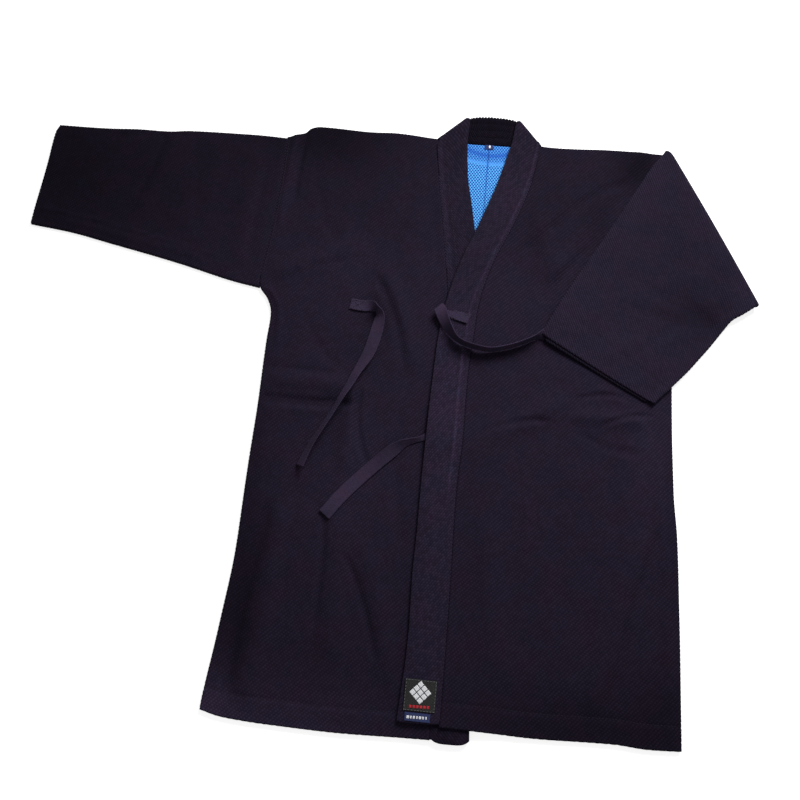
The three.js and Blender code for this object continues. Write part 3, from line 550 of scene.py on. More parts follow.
def wovenMaterial(name, look):
    # Base colour goes from the grooves' painted shade to the crests with the weave's height, tinted by slow
    # patches of dye, and scaled by the piece's attribute of painted light and shade. The same height feeds
    # the bump.
    material = bpy.data.materials.new(name)
    material.use_nodes = True
    tree = material.node_tree
    shader = tree.nodes["Principled BSDF"]
    cut = put(tree, "ShaderNodeTexCoord").outputs["UV"]
    across, along = ribs(look["heading"], look["pitch"], look["grain"])
    woven = put(tree, "ShaderNodeGroup", node_tree=weave)
    tree.links.new(cut, woven.inputs["Place"])
    woven.inputs["Across ribs"].default_value = across
    woven.inputs["Along ribs"].default_value = along
    woven.inputs["Notch"].default_value = look["notch"]
    woven.inputs["Wander"].default_value = look["wander"] * mm
    height = woven.outputs["Height"]
    # Painted shade: the colour is darker in the weave's low places
    base = put(
        tree, "ShaderNodeMix", {0: height, 6: (*look["paintedGrooveShade"], 1), 7: (*look["crest"], 1)}, data_type="RGBA"
    ).outputs[2]
    patch = put(tree, "ShaderNodeTexNoise", {"Vector": cut, "Scale": 26.0, "Detail": 3.0, "Roughness": 0.55})
    share = put(
        tree, "ShaderNodeMapRange", {0: patch.outputs[0], 1: 0.36, 2: 0.64, 3: 0.0, 4: 1.0}
    ).outputs[0]
    dyed = put(
        tree, "ShaderNodeMix", {0: share, 6: (*look["cool"], 1), 7: (*look["warm"], 1)}, data_type="RGBA"
    ).outputs[2]
    tinted = put(
        tree, "ShaderNodeMix", {0: 1.0, 6: base, 7: dyed}, data_type="RGBA", blend_type="MULTIPLY"
    ).outputs[2]
    # The attribute of painted light and shade scales the colour
    paintedShadeAndMarks = put(tree, "ShaderNodeAttribute", attribute_name="paintedShadeAndMarks").outputs["Fac"]
    spread = look["fleck"]
    flecked = calc(tree, "MULTIPLY_ADD", woven.outputs["Fleck"], spread, 1 - spread / 2)
    gain = calc(tree, "MULTIPLY", paintedShadeAndMarks, flecked)
    colour = put(tree, "ShaderNodeVectorMath", {0: tinted, "Scale": gain}, operation="SCALE").outputs[0]
    tree.links.new(colour, shader.inputs["Base Color"])
    rough = calc(tree, "MULTIPLY_ADD", height, -0.08, look["roughness"])
    tree.links.new(rough, shader.inputs["Roughness"])
    shader.inputs["Specular IOR Level"].default_value = look["specular"]
    shader.inputs["Sheen Weight"].default_value = look["sheen"]
    shader.inputs["Sheen Roughness"].default_value = 0.5
    shader.inputs["Sheen Tint"].default_value = (*look["sheenTint"], 1)
    bump = put(tree, "ShaderNodeBump", {"Strength": 1.0, "Distance": look["relief"] * mm, "Height": height})
    tree.links.new(bump.outputs[0], shader.inputs["Normal"])
    return material


# Finishes. Colours are linear, lengths millimetres.
indigoLook = {
    "paintedGrooveShade": (0.0096, 0.0067, 0.0138),
    "crest": (0.0176, 0.0123, 0.0247),
    "cool": (0.90, 1.02, 1.03),
    "warm": (1.08, 0.96, 0.99),
    "heading": 46,  # of the ribs, in the cut's plane
    "pitch": 3.9,
    "grain": 3.3,
    "notch": 0.6,
    "wander": 1.6,
    "fleck": 0.22,
    "relief": 0.5,
    "roughness": 0.92,
    "specular": 0.03,
    "sheen": 0.01,
    "sheenTint": (0.62, 0.55, 0.8),
}
spreadLook = {**indigoLook, "heading": 132, "pitch": 3.7, "grain": 3.0, "notch": 0.7}
# The folded sleeve's copy of the cloth has a lighter crest: painted light
foldedLook = {
    **indigoLook,
    "heading": 8,
    "pitch": 3.0,
    "grain": 3.6,
    "notch": 0.5,
    "paintedGrooveShade": (0.0096, 0.0064, 0.0136),
    "crest": (0.0206, 0.0154, 0.0300),
}
bandLook = {
    **indigoLook,
    "paintedGrooveShade": (0.0130, 0.0090, 0.0195),
    "crest": (0.0250, 0.0178, 0.0350),
    "heading": 128,
    "pitch": 3.1,
    "grain": 4.2,
    "notch": 0.6,
    "wander": 1.8,
    "relief": 0.36,
    "fleck": 0.42,
}
neckLook = {**bandLook, "paintedGrooveShade": (0.0030, 0.0020, 0.0048), "crest": (0.0108, 0.0076, 0.0160), "relief": 0.7}
tapeLook = {
    **indigoLook,
    "paintedGrooveShade": (0.0230, 0.0158, 0.0320),
    "crest": (0.0370, 0.0262, 0.0500),
    "heading": 60,
    "pitch": 1.5,
    "grain": 1.6,
    "notch": 0.4,
    "wander": 0.5,
    "fleck": 0.25,
    "relief": 0.22,
}
indigoCloth = wovenMaterial("indigo_cloth", indigoLook)
spreadCloth = wovenMaterial("indigo_cloth_spread_sleeve", spreadLook)
foldedCloth = wovenMaterial("indigo_cloth_folded_sleeve", foldedLook)
bandCloth = wovenMaterial("band_cloth", bandLook)
neckCloth = wovenMaterial("neck_strip_cloth", neckLook)
tapeCloth = wovenMaterial("tape_cloth", tapeLook)
print("stage: woven materials ready")

# Backs: two flat panels on the floor
backCells = {"across": 40, "along": 210}


def backPiece(which):
    # Panel between side seam and centre back, flat at half the wall, its edges scalloped.
    towards = -1 if which == "right" else 1
    centre = lambda y: centreBack(y) + towards * cloth["seam"] / 2
    corner = 57.5 if which == "right" else 211
    hem = hemEdge[which] if which == "right" else (lambda x: hemEdge["left"](np.maximum(x, 105)))
    high = lambda x: np.where(
        (x > corner) == (which == "right"),
        neckline,
        shoulderSeam[which](x) - cloth["seam"],
    )
    u = np.linspace(0, 1, backCells["across"] + 1)[None, :]
    v = np.linspace(0, 1, backCells["along"] + 1)[:, None]
    x, y = insideEdges(sideEdge[which], centre, hem, high, u, v)
    x[:, 0] += towards * scallop(y[:, 0], 1.1) * (y[:, 0] < 135)
    y[0] -= scallop(x[0], 0.6)
    middle = np.stack([x, y, 0 * x + cloth["wall"] / 2], -1)
    out = np.broadcast_to(np.array([0.0, 0, 1]), middle.shape)
    # The backs are 0.8 as dark: painted shade under the fronts
    piece = shell(
        "back_" + which + "_cloth", middle, out, cloth["wall"], np.stack([x, y], -1),
        indigoCloth, shade=0.8 * paintedLightGain(x, y),
    )
    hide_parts("back_" + which)
    return piece


backPiece("right")
backPiece("left")

# Fronts: their shoulder edge rolls over and turns under to the back
frontCells = {"across": 84, "along": 400, "turn": 10, "seam": 6}


def frontPiece(which):
    # z = underside + half the wall over the panel; past the shoulder edge an elliptic half turn,
    # y + roll sin(a) and z = middle + (top - middle) cos(a), then a strip on the floor to the seam.
    right = which == "right"
    inner = (
        (lambda y: underBand["out"](y) - cloth["seam"] + neckTuck * smooth(376, 388, y))
        if right
        else (lambda y: overBand["out"](y) + cloth["seam"] - neckTuck * smooth(376, 388, y)
              + bendRoom * np.exp(-(((y - bendAt) / 60) ** 2)))
    )
    outer = sideEdge[which]
    left, far = (outer, inner) if right else (inner, outer)
    high = lambda x: shoulderEdge[which](x) - flatRadius
    cells = frontCells
    u = np.linspace(0, 1, cells["across"] + 1)[None, :]
    v = np.linspace(0, 1, cells["along"] + 1)[:, None]
    x, y = insideEdges(left, far, hemEdge[which], high, u, v)
    z = frontLow(which, x, y) + cloth["wall"] / 2
    up = np.array([0.0, 0, 1])
    panel = np.stack([x, y, z], -1)
    panelOut = np.broadcast_to(up, panel.shape)
    angle = (math.pi * np.arange(1, cells["turn"] + 1) / cells["turn"])[:, None]
    roll = flatRadius - cloth["wall"] / 2
    edgeX = x[-1][None, :]
    edgeY = y[-1][None, :]
    top = z[-1][None, :]
    middle = (top + cloth["wall"] / 2) / 2
    turned = np.stack(
        [edgeX + 0 * angle, edgeY + roll * np.sin(angle), middle + (top - middle) * np.cos(angle)], -1
    )
    turnedOut = np.stack([0 * angle + 0 * edgeX, np.sin(angle) + 0 * edgeX, np.cos(angle) + 0 * edgeX], -1)
    t = (np.arange(1, cells["seam"] + 1) / cells["seam"])[:, None]
    seamY = shoulderSeam[which](edgeX)
    strip = np.stack([edgeX + 0 * t, edgeY + (seamY - edgeY) * t, 0 * t + turned[-1:, :, 2]], -1)
    stripOut = np.broadcast_to(-up, strip.shape)
    points = np.concatenate([panel, turned, strip])
    out = np.concatenate([panelOut, turnedOut, stripOut])
    edgeColumn = 0 if right else -1
    free = 1 - smooth(110, 140, points[:, edgeColumn, 1])
    points[:, edgeColumn, 0] += (-1 if right else 1) * scallop(points[:, edgeColumn, 1], 0.3) * free
    points[0, :, 1] -= scallop(points[0, :, 0], 2.0)
    arc = np.concatenate([0 * y, roll * angle + 0 * edgeX, roll * math.pi + (edgeY - seamY) * t])
    flatY = np.concatenate([y, 0 * turned[..., 1] + edgeY, 0 * strip[..., 1] + edgeY]) + arc
    flat = np.stack([points[..., 0], flatY], -1)
    proud = np.concatenate([0 * y, scallop(edgeX, 0.9) * np.sin(angle), 0 * strip[..., 1]])
    piece = shell(
        "front_" + which + "_cloth", points, out, cloth["wall"], flat, indigoCloth,
        proud=proud, shade=paintedLightGain(points[..., 0], points[..., 1]),
    )
    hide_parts("front_" + which)
    return piece


frontPiece("right")
frontPiece("left")
print("stage: body panels made")

# The right sleeve, spread flat
spread = {
    "cells": {"across": 88, "turn": 10, "along": 150},
    "top": curve(
        (-173, 387), (-222, 389), (-320, 388), (-350, 385), (-398, 385), (-444, 383), (-522, 383)
    ),
    "foot": curve((-183, 142), (-229, 151), (-306, 171.5), (-412, 195.5), (-467, 207.5), (-530, 216.5)),
    "cuff": curve((383, -516.5), (370, -521.5), (316, -524), (240, -529), (217, -530)),
    "folds": [
        (-392, 372, -482, 252, 15, 3.4, 0),
        (-332, 372, -368, 262, 14, 2.8, 0),
        (-214, 344, -222, 196, 15, 2.4, 0),
        (-470, 219, -290, 184, 10, 1.8, 0),
    ],
    "fine": [
        (-415, 380, -502, 256, 6, -2.0, 3),
        (-356, 374, -380, 282, 6, -1.8, -3),
        (-522, 242, -435, 229, 3.4, 1.0, 0),
        (-435, 229, -335, 206, 3.4, 1.0, 0),
        (-335, 206, -252, 186, 3.4, 0.9, 0),
        (-300, 350, -280, 230, 12, -1.0, 5),
        (-250, 360, -262, 300, 9, -0.8, 0),
        (-470, 360, -500, 320, 10, 0.8, 0),
        (-196, 330, -206, 200, 6, -1.2, 2),
    ],
}


def tubeColumns(across, turn):
    # Place w across and turn round a flat tube: upper layer, fold at w = 1, lower layer, fold at 0.
    rise = np.arange(1, turn) / turn
    w = np.concatenate([np.linspace(0, 1, across + 1), 0 * rise + 1, np.linspace(1, 0, across + 1), 0 * rise])
    part = np.concatenate([0 * np.arange(across + 1), rise, 1 + 0 * np.arange(across + 1), 1 + rise])
    return w[None, :], math.pi * part[None, :]


def spreadSleeve():
    # The wall's middle at y - radius sin(turn), z = flatRadius + radius cos(turn), plus the folds on
    # the upper layer.
    w, turn = tubeColumns(spread["cells"]["across"], spread["cells"]["turn"])
    v = np.linspace(0, 1, spread["cells"]["along"] + 1)[:, None]
    right = lambda y: sideEdge["right"](y) - cloth["seam"] - 0.1
    low = lambda x: spread["foot"](x) + flatRadius
    high = lambda x: spread["top"](x) - flatRadius
    x, y = insideEdges(spread["cuff"], right, low, high, 1 - v, 1 - w)
    radius = flatRadius - cloth["wall"] / 2
    inside = smooth(0, 30, x - spread["cuff"](y)) * smooth(0, 30, right(y) - x)
    rim = smooth(0, 0.12, w) * smooth(0, 0.08, 1 - w)
    sides = smooth(0, 0.05, w) * smooth(0, 0.05, 1 - w)
    fineIn = smooth(0, 12, x - spread["cuff"](y)) * smooth(0, 10, right(y) - x) * sides
    fine = (foldRise(spread["fine"], x, y) + 0.9 * ripple(x, y)) * fineIn
    fine = fine + grooveAt(x - spread["cuff"](y) - cuffTurn, 2.2, 0.5) * sides
    rise = (foldRise(spread["folds"], x, y) * inside * rim + np.maximum(fine, -1.9)) * (turn == 0)
    flatY = np.cumsum(np.abs(np.diff(y, axis=1, prepend=y[:, :1])), axis=1) + radius * turn
    flat = np.stack([-x, -flatY], -1)
    x = x - np.where(v == 1, scallop(y, 0.4), 0)
    out = np.stack([0 * x, -np.sin(turn) + 0 * x, np.cos(turn) + 0 * x], -1)
    middle = np.stack([x, y - np.sin(turn) * radius, flatRadius + np.cos(turn) * radius + rise], -1)
    closing = np.array([0.0, radius * math.pi / spread["cells"]["turn"]])
    flat = np.concatenate([flat, flat[:, -1:] - closing], axis=1)
    piece = shell(
        "sleeve_right_cloth", middle, out, cloth["wall"], flat, spreadCloth,
        proud=scallop(x, 0.2) * np.abs(np.sin(turn)), ring=True, shade=paintedLightGain(x, y),
    )
    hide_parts("sleeve_right")
    return piece


spreadSleeve()

# The left sleeve, folded over its crease on to the front
folded = {
    "cells": {"fan": 14, "turn": 18, "along": 150, "across": 88, "edge": 10},
    "backLength": 190,  # from the crease to the cuff, along the sleeve's middle
    "creaseRadius": 5.4,
    "creaseBow": 1.3,  # how far the crease bows out in its middle
    "creaseCorner": {"raised": (-1.4, 0.9), "rounded": 15, "foot": (0, -3), "tip": (-1.0, -2.4)},
    "overhangDrop": 4.6,
    "armhole": {"top": (397.5, 401.6), "foot": (425.7, 146)},
    # how far the folded part's edges lie off straight lines, by share of its length
    "bulge": [(0, 0), (0.035, 0.5), (0.09, 3.1), (0.2, 3.4), (0.5, 3.0), (0.75, 3.4), (1, 0)],
    "hollow": [(0, 0), (0.1, 4.2), (0.19, 8.6), (0.28, 6.8), (0.42, 3.3), (0.55, 1.5), (0.68, 0), (1, 0)],
    "folds": [
        (372, 340, 300, 150, 18, 2.6, 0),
        (440, 200, 500, 214, 16, 2.8, 0),
        (420, 112, 330, 78, 16, 2.4, 0),
    ],
    "fine": [
        (393, 169, 455, 130, 10, -2.4, -5),
        (354, 146, 408, 128, 9, -1.2, -3),
        (339, 75, 392, 112, 8, -1.5, 3),
        (470, 168, 506, 196, 7, 1.0, 0),
        (450, 283, 476, 150, 11, -1.6, 4),
        (404, 330, 372, 240, 11, -1.0, -4),
        (424, 352, 486, 236, 7, 0.9, 0),
        (300, 200, 262, 130, 10, -0.9, 3),
        (380, 60, 340, 30, 8, 0.7, 0),
        (330, 250, 310, 190, 12, 0.8, 0),
    ],
    # Painted light and shade on the folded sleeve: (x, y, reach across, reach along, gain)
    "places": [
        (430, 260, 190, 190, -0.28),
        (430, 404, 40, 46, -0.2),
        (524, 190, 36, 80, 0.14),
        (486, 204, 34, 36, -0.12),
        (420, 145, 40, 22, -0.2),
        (470, 300, 26, 90, 0.1),
        (300, 60, 120, 40, 0.06),
        (454, 144, 34, 22, -0.14),
        (505, 225, 26, 70, 0.1),
    ],
}


def foldedSleeve():
    # A flat tube's section carried flat to the crease, round it on the crease radius, and back over
    # the front, where its middle lies at the height of what is under it.
    creaseRadius = folded["creaseRadius"]
    armhole = folded["armhole"]
    corner = folded["creaseCorner"]
    top = np.array(crease["top"], float)
    foot = np.array(crease["foot"], float)
    run = (foot - top) / np.linalg.norm(foot - top)
    outward = np.array([-run[1], run[0]])
    reach = math.pi * creaseRadius / 2
    nearTop = top - outward * reach
    nearFoot = foot - outward * reach
    cells = folded["cells"]
    w, turn = tubeColumns(cells["across"], cells["edge"])
    fan = (np.arange(cells["fan"] + 1) / cells["fan"])[:, None]
    bend = (np.arange(1, cells["turn"] + 1) / cells["turn"])[:, None]
    back = (np.arange(1, cells["along"] + 1) / cells["along"])[:, None]
    angle = math.pi * bend
    by = -reach + creaseRadius * np.sin(angle)
    mix = lambda p, q, t: np.asarray(p) * (1 - t) + np.asarray(q) * t
    hollow = curve(*folded["hollow"])(back) * [[0.728, -0.687]]
    bulge = curve(*folded["bulge"])(back) * [[-0.855, 0.519]]
    raised = np.array(corner["raised"])
    rounded = run * corner["rounded"] * np.sin(angle) ** 3
    a = np.concatenate([
        mix(armhole["top"], nearTop + raised, fan),
        top + outward * by + rounded + raised * np.cos(angle) ** 2,
        mix(nearTop + raised, cuffLeft["top"], back) + bulge,
    ])
    lower = np.array(corner["foot"])
    tipped = np.array(corner["tip"]) * np.sin(angle)
    b = np.concatenate([
        mix(armhole["foot"], nearFoot, fan),
        foot + lower * bend + outward * by + tipped,
        mix(nearFoot + lower, cuffLeft["foot"], back) - hollow,
    ])
    middle = np.concatenate([0 * fan + flatRadius, flatRadius + creaseRadius * (1 - np.cos(angle)), 0 * back])
    lift = np.concatenate([
        np.broadcast_to([0.0, 0, 1], (len(fan), 3)),
        np.concatenate([-np.sin(angle) * outward, np.cos(angle)], axis=1),
        np.broadcast_to([0.0, 0, -1], (len(back), 3)),
    ])[:, None, :]
    span = b - a
    length = np.linalg.norm(span, axis=1)[:, None]
    across = np.concatenate([span / length, 0 * length], axis=1)[:, None, :]
    radius = flatRadius - cloth["wall"] / 2
    place = flatRadius + w * (length - 2 * flatRadius)
    out = across * np.sin(turn)[..., None] + lift * np.cos(turn)[..., None]
    at = np.concatenate([a, middle], axis=1)[:, None, :] + across * place[..., None] + out * radius
    t = np.concatenate([0 * fan, 0 * bend, back])
    bent = np.concatenate([fan, 0 * bend + 1, 1 - smooth(0, 0.25, back)])
    at[..., :2] += outward * (folded["creaseBow"] * np.sin(math.pi * w) * bent)[..., None]
    x = at[..., 0]
    y = at[..., 1]
    off = -((x - top[0]) * outward[0] + (y - top[1]) * outward[1])
    roll = 1 - smooth(reach, reach + 80, off)
    outside = x - sideEdge["left"](y)
    below = armhole["foot"][1] + (x - armhole["foot"][0]) * 0.23 - y
    drop = folded["overhangDrop"] * smooth(5, 46, np.minimum(outside, below))
    tie = np.hypot(x - tieHumpSleeve["x"], y - tieHumpSleeve["y"]) / tieHumpSleeve["half"]
    rest = frontTop + cloth["rest"] + flatRadius - drop
    full = flatRadius + 2 * creaseRadius
    upper = rest + (full - rest) * roll + tieHumpSleeve["rise"] * np.exp(-(tie**2))
    shown = (turn == math.pi) * smooth(0, 0.1, np.minimum(w, 1 - w))
    inside = smooth(0.08, 0.3, t) * (1 - smooth(0.9, 1, t))
    fineIn = smooth(0.02, 0.1, t) * (1 - smooth(0.96, 1, t)) * (turn == math.pi)
    fineIn = fineIn * smooth(0, 0.05, np.minimum(w, 1 - w))
    fine = (foldRise(folded["fine"], x, y) + 0.9 * ripple(x, y)) * fineIn
    fine = fine + grooveAt((1 - t) * folded["backLength"] - cuffTurn, 2.4, 0.45) * (turn == math.pi) * (t > 0)
    rise = foldRise(folded["folds"], x, y) * shown * inside + np.maximum(fine, -2.0)
    at[..., 2] += np.where(t > 0, upper + rise, 0)
    # The cuff: ribs along its edge, the layer below a little longer
    forward = np.array([cuffLeft["top"][0] - nearTop[0], cuffLeft["top"][1] - nearTop[1], 0.0])
    forward = forward / np.linalg.norm(forward)
    inner = (turn == 0) * smooth(0, 0.06, np.minimum(w, 1 - w))
    longer = (5.0 - 2.2 * w) * smooth(0.86, 1, t) * inner
    pressed = (turn == math.pi) * smooth(0, 0.06, np.minimum(w, 1 - w))
    at[..., 2] += (0.5 * inner - 2.3 * pressed) * smooth(0.8, 1, t)
    ragged = np.where(t == 1, scallop(w * 183, 0.5), 0)
    at = at + forward * (longer + ragged)[..., None]
    along = x * run[0] + y * run[1]
    fanned = -math.pi * creaseRadius * (1 + 0.4 * (1 - fan))
    rolled = np.concatenate([fanned, -creaseRadius * (math.pi - angle), 0 * back])
    unrolled = np.where(t > 0, off - reach, 0) + rolled
    flat = np.stack([along, unrolled], -1)
    flat = np.concatenate([flat, flat[:, :1]], axis=1)
    # The lower layer is painted darker near the cuff: painted shade under the upper layer
    shade = paintedLightGain(x, y, folded["places"]) * (1 - 0.35 * (turn == 0) * smooth(0.9, 1, t))
    piece = shell(
        "sleeve_left_cloth", at, out, cloth["wall"], flat, foldedCloth,
        proud=scallop(unrolled, 0.8) * np.abs(np.sin(turn)), ring=True, shade=shade,
    )
    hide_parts("sleeve_left")
    return piece


foldedSleeve()
print("stage: sleeves made")

# The collar band, in two halves
bandCells = {"across": 40, "level": 330, "lean": 60, "turn": 12, "neck": 80}
bandStyle = {
    "width": 47.0,
    "ridgeWidth": 13,
    "ridgeRise": 1.2,
    "ridgeEnd": -122,
    "underFoot": -445,
    "overFoot": -423,
    "neckStripTop": 447.0,
    "neckStripGap": 0.6,
    "neckRidges": 4,
    "neckRidgeRise": 1.3,
    "neckBead": 1.7,
    "neckBeadPitch": 4.6,
    "edgeStitch": 2.6,  # from an edge to its row of stitches
    "corner": 2.6,
    "footCorner": 6,
    "neckBow": 2.2,  # of the neck's upper edge
}
neckFold = {
    "right": {"out": (55.5, 401.8), "in": (98.5, 443)},
    "left": {"out": (211.8, 402.0), "in": (178, 443.5)},
}


def bandLevel(which, x, y, w):
    # Middle height of the band: on the under layers, over the other band, or at the neck fold.
    if which == "right":
        base = bandBase + (neckBase - bandBase) * smooth(362, 396, y)
        return base + cloth["band"] / 2
    base = neckBase + (overBase - neckBase) * overClimb(y)
    droop = smooth(0.66, 1, w) * (1 - smooth(60, 125, y))
    return base + cloth["band"] / 2 + tieHump(y) - droop


def ridgeAt(y):
    # Width of the raised strip, narrower where the band bends to the neck.
    return bandStyle["ridgeWidth"] - 5 * smooth(130, 200, y)


def bandProfile(which, w, y):
    # What the band's face adds across its width: a low crown, stitched edges, the raised strip with
    # a crest along the sewn edge.
    width = bandStyle["width"]
    s = w * width
    face = 0.15 - 0.2 * np.exp(-((s / 1.4) ** 2)) - 0.5 * np.exp(-(((width - s) / 2.2) ** 2))
    face = face + grooveAt(s - bandStyle["edgeStitch"], 1.3, 0.3)
    face = face + grooveAt(width - s - bandStyle["edgeStitch"], 1.3, 0.35)
    if which == "left":
        ends = smooth(bandStyle["ridgeEnd"] - 30, bandStyle["ridgeEnd"] + 10, y)
    else:
        ends = smooth(150, 190, y)
    ridge = ridgeAt(y)
    strip = 1 - smooth(ridge - 3, ridge + 0.5, s)
    crest = np.exp(-(((s - ridge + 2.6) / 1.9) ** 2))
    dip = np.exp(-(((s - ridge - 2.2) / 1.8) ** 2))
    raised = (bandStyle["ridgeRise"] * 0.65 * strip + 0.65 * crest - 0.35 * dip) * ends
    if which == "right":
        raised = 0.5 * raised + 0.4 * np.exp(-(((s - 1.9) / 1.3) ** 2)) * ends
    bumps = 0.12 * np.sin(y / 7.1 + 5 * w) * np.sin(y / 15.7 + 2)
    return face + raised + bumps


def collarPiece(which):
    # Rows across the front stretch, leaning to the diagonal neck fold, a half turn under it, and the
    # neck stretch on the floor to the centre back, whose upward face carries stitched ridges.
    right = which == "right"
    edges = underBand if right else overBand
    foot = bandStyle["underFoot"] if right else bandStyle["overFoot"]
    towards = 1 if right else -1
    foldOut = np.array(neckFold[which]["out"], float)
    foldIn = np.array(neckFold[which]["in"], float)
    run = (foldIn - foldOut) / np.linalg.norm(foldIn - foldOut)
    outward = np.array([-run[1], run[0]]) * towards
    topMiddle = neckBase + cloth["band"] / 2
    radius = (topMiddle - cloth["band"] / 2) / 2
    reach = math.pi * radius / 2
    nearOut = foldOut - outward * reach
    nearIn = foldIn - outward * reach
    straight = nearOut[1] - 60
    cells = bandCells
    w = np.linspace(0, 1, cells["across"] + 1)[None, :]
    mix = lambda p, q, t: p * (1 - t) + q * t
    # front stretch
    level = np.linspace(foot, straight, cells["level"] + 1)[:, None]
    lean = (np.arange(1, cells["lean"] + 1) / cells["lean"])[:, None]
    outY = np.concatenate([level, mix(straight, nearOut[1], lean)])
    inY = np.concatenate([level, mix(straight, nearIn[1], lean)])
    leaned = np.concatenate([0 * level, lean])
    outX = mix(edges["out"](outY), nearOut[0], smooth(0.8, 1, leaned))
    beyond = np.clip((inY - 401) / (nearIn[1] - 401), 0, 1)
    inX = mix(edges["in"](np.minimum(inY, 401)), nearIn[0], beyond)
    x = mix(outX, inX, w)
    y = mix(outY, inY, w)
    y = y + (bandStyle["footCorner"] if right else 1.0) * (2 * w - 1) ** 4 * (1 - smooth(0, 14, y - foot))
    z = mix(bandLevel(which, x, y, w), topMiddle, leaned)
    front = np.stack([x, y, z], -1)
    face = bandProfile(which, w, y)
    # half turn under the fold
    angle = (math.pi * np.arange(1, cells["turn"] + 1) / cells["turn"])[:, None, None]
    by = -reach + radius * np.sin(angle)
    line = mix(foldOut, foldIn, w[..., None])
    turnedZ = topMiddle - radius * (1 - np.cos(angle)) + 0 * line[..., :1]
    turned = np.concatenate([line + outward * by, turnedZ], -1)
    turnedOut = np.concatenate([np.sin(angle) * outward + 0 * line, np.cos(angle) + 0 * line[..., :1]], -1)
    # neck stretch
    t = (np.arange(1, cells["neck"] + 1) / cells["neck"])[:, None, None]
    centre = float(centreBack(neckline))
    endOut = np.array([centre, neckline + bandStyle["neckStripGap"]])
    endIn = np.array([centre, bandStyle["neckStripTop"]])
    neckLine = mix(mix(nearOut, endOut, t), mix(nearIn, endIn, t), w[..., None])
    neckLine[..., 1] += bandStyle["neckBow"] * w * (smooth(0, 0.12, t) * (1 - smooth(0.4, 1, t)))[..., 0]
    neck = np.concatenate([neckLine, 0 * neckLine[..., :1] + cloth["band"] / 2], -1)
    down = np.array([0.0, 0, -1])
    points = np.concatenate([front, turned, neck])
    # the free edge's corner is rounded off: back by r - sqrt(r^2 - s^2) over its last r
    beside = np.concatenate([smooth(0.6, 1, leaned), 1 + 0 * angle[..., 0], 1 - smooth(0, 0.08, t[..., 0])])
    last = np.clip(1 - (1 - w) * 57 / bandStyle["corner"], 0, 0.999)
    points[..., :2] -= outward * (bandStyle["corner"] * (1 - np.sqrt(1 - last**2)) * beside)[..., None]
    out = np.concatenate([np.broadcast_to(-down, front.shape), turnedOut, np.broadcast_to(down, neck.shape)])
    kept = np.concatenate([0 * angle[..., 0] + np.maximum(np.cos(angle[..., 0]), 0), 0 * t[..., 0]])
    proud = np.concatenate([face, face[-1:] * kept])
    ridges = np.abs(np.sin(math.pi * bandStyle["neckRidges"] * w)) ** 0.7
    bumps = 0.8 + 0.2 * np.sin(neck[..., 0] / 1.5)
    smoothFold = 0 * kept[: cells["turn"]] + 0 * w
    under = np.concatenate([0 * y, smoothFold, bandStyle["neckRidgeRise"] * ridges * bumps])
    under = under * np.concatenate([0 * y + 1, 1 + smoothFold, smooth(0, 0.25, t[..., 0]) + 0 * w])
    # the neck's upper edge is beaded by the ends of its ribs
    neckEdge = points[-cells["neck"]:, -1]
    beads = np.abs(np.sin(neckEdge[:, 0] * math.pi / bandStyle["neckBeadPitch"]))
    neckEdge[:, 1] += bandStyle["neckBead"] * beads - 0.9
    length = np.concatenate([outY, outY[-1] + 8 * angle[..., 0] / math.pi, outY[-1] + 8 + 90 * t[..., 0]])
    s = w * bandStyle["width"]
    flat = np.stack([s + 0 * length, length + 0 * w], -1)
    # A painted highlight along the raised strip's crest, and on the right band along the crest by its sewn
    # edge
    crestHighlight = np.exp(-(((s - ridgeAt(y) + 2.6) / 2.4) ** 2))
    crestHighlight = crestHighlight + (0.8 * np.exp(-(((s - 2.0) / 1.4) ** 2)) if right else 0)
    ends = smooth(-170, -90, y) if not right else smooth(160, 200, y)
    # Painted light and shade: each band's brightness along its length, darker towards the neck; the turned
    # rows and the neck stretch take 0.55
    if right:
        paintedShadeAndMarks = 0.58 - 0.1 * smooth(300, 420, y)
    else:
        paintedShadeAndMarks = 0.9 - 0.22 * smooth(60, 200, y) - 0.14 * smooth(300, 420, y)
        paintedShadeAndMarks = paintedShadeAndMarks + 0.1 * np.exp(-(((y + 20) / 110) ** 2))
    shade = np.concatenate([
        (1 + (0.5 if not right else 0.3) * crestHighlight * ends) * paintedShadeAndMarks,
        0.55 + smoothFold,
        0.55 + 0 * t[..., 0] + 0 * w,
    ])
    piece = shell(
        "collar_" + which + "_cloth", points, out, cloth["band"], flat, bandCloth,
        proud=proud, under=under, shade=shade,
    )
    colourNeck(piece, len(front) + cells["turn"], points.shape)
    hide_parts("collar_" + which)
    return piece


def colourNeck(piece, fromRow, shape):
    # Faces whose every corner is in the neck stretch take the darker cloth of the inner face.
    piece.data.materials.append(neckCloth)
    count = len(piece.data.polygons)
    corners = np.empty(count * 4, np.int32)
    piece.data.loops.foreach_get("vertex_index", corners)
    row = (corners % (shape[0] * shape[1])) // shape[1]
    chosen = row.reshape(-1, 4).min(axis=1) >= fromRow
    piece.data.polygons.foreach_set("material_index", chosen.astype(np.int32))


collarPiece("right")
collarPiece("left")
print("stage: collar band made")

# The blue mesh lining, as far as the neck opening shows it
liningLook = {
    "thread": (0.132, 0.54, 1.0),
    "hole": (0.004, 0.055, 0.28),
    "band": (0.012, 0.11, 0.55),
    "pitch": 4.2,
    "holeSize": 0.41,  # as a share of the pitch
    "wall": 0.7,
    "foot": 240,  # lowest height that the fronts leave open
    "beltAt": 367,
    "streakAt": 381,
    "across": 30,
    "along": 80,
}


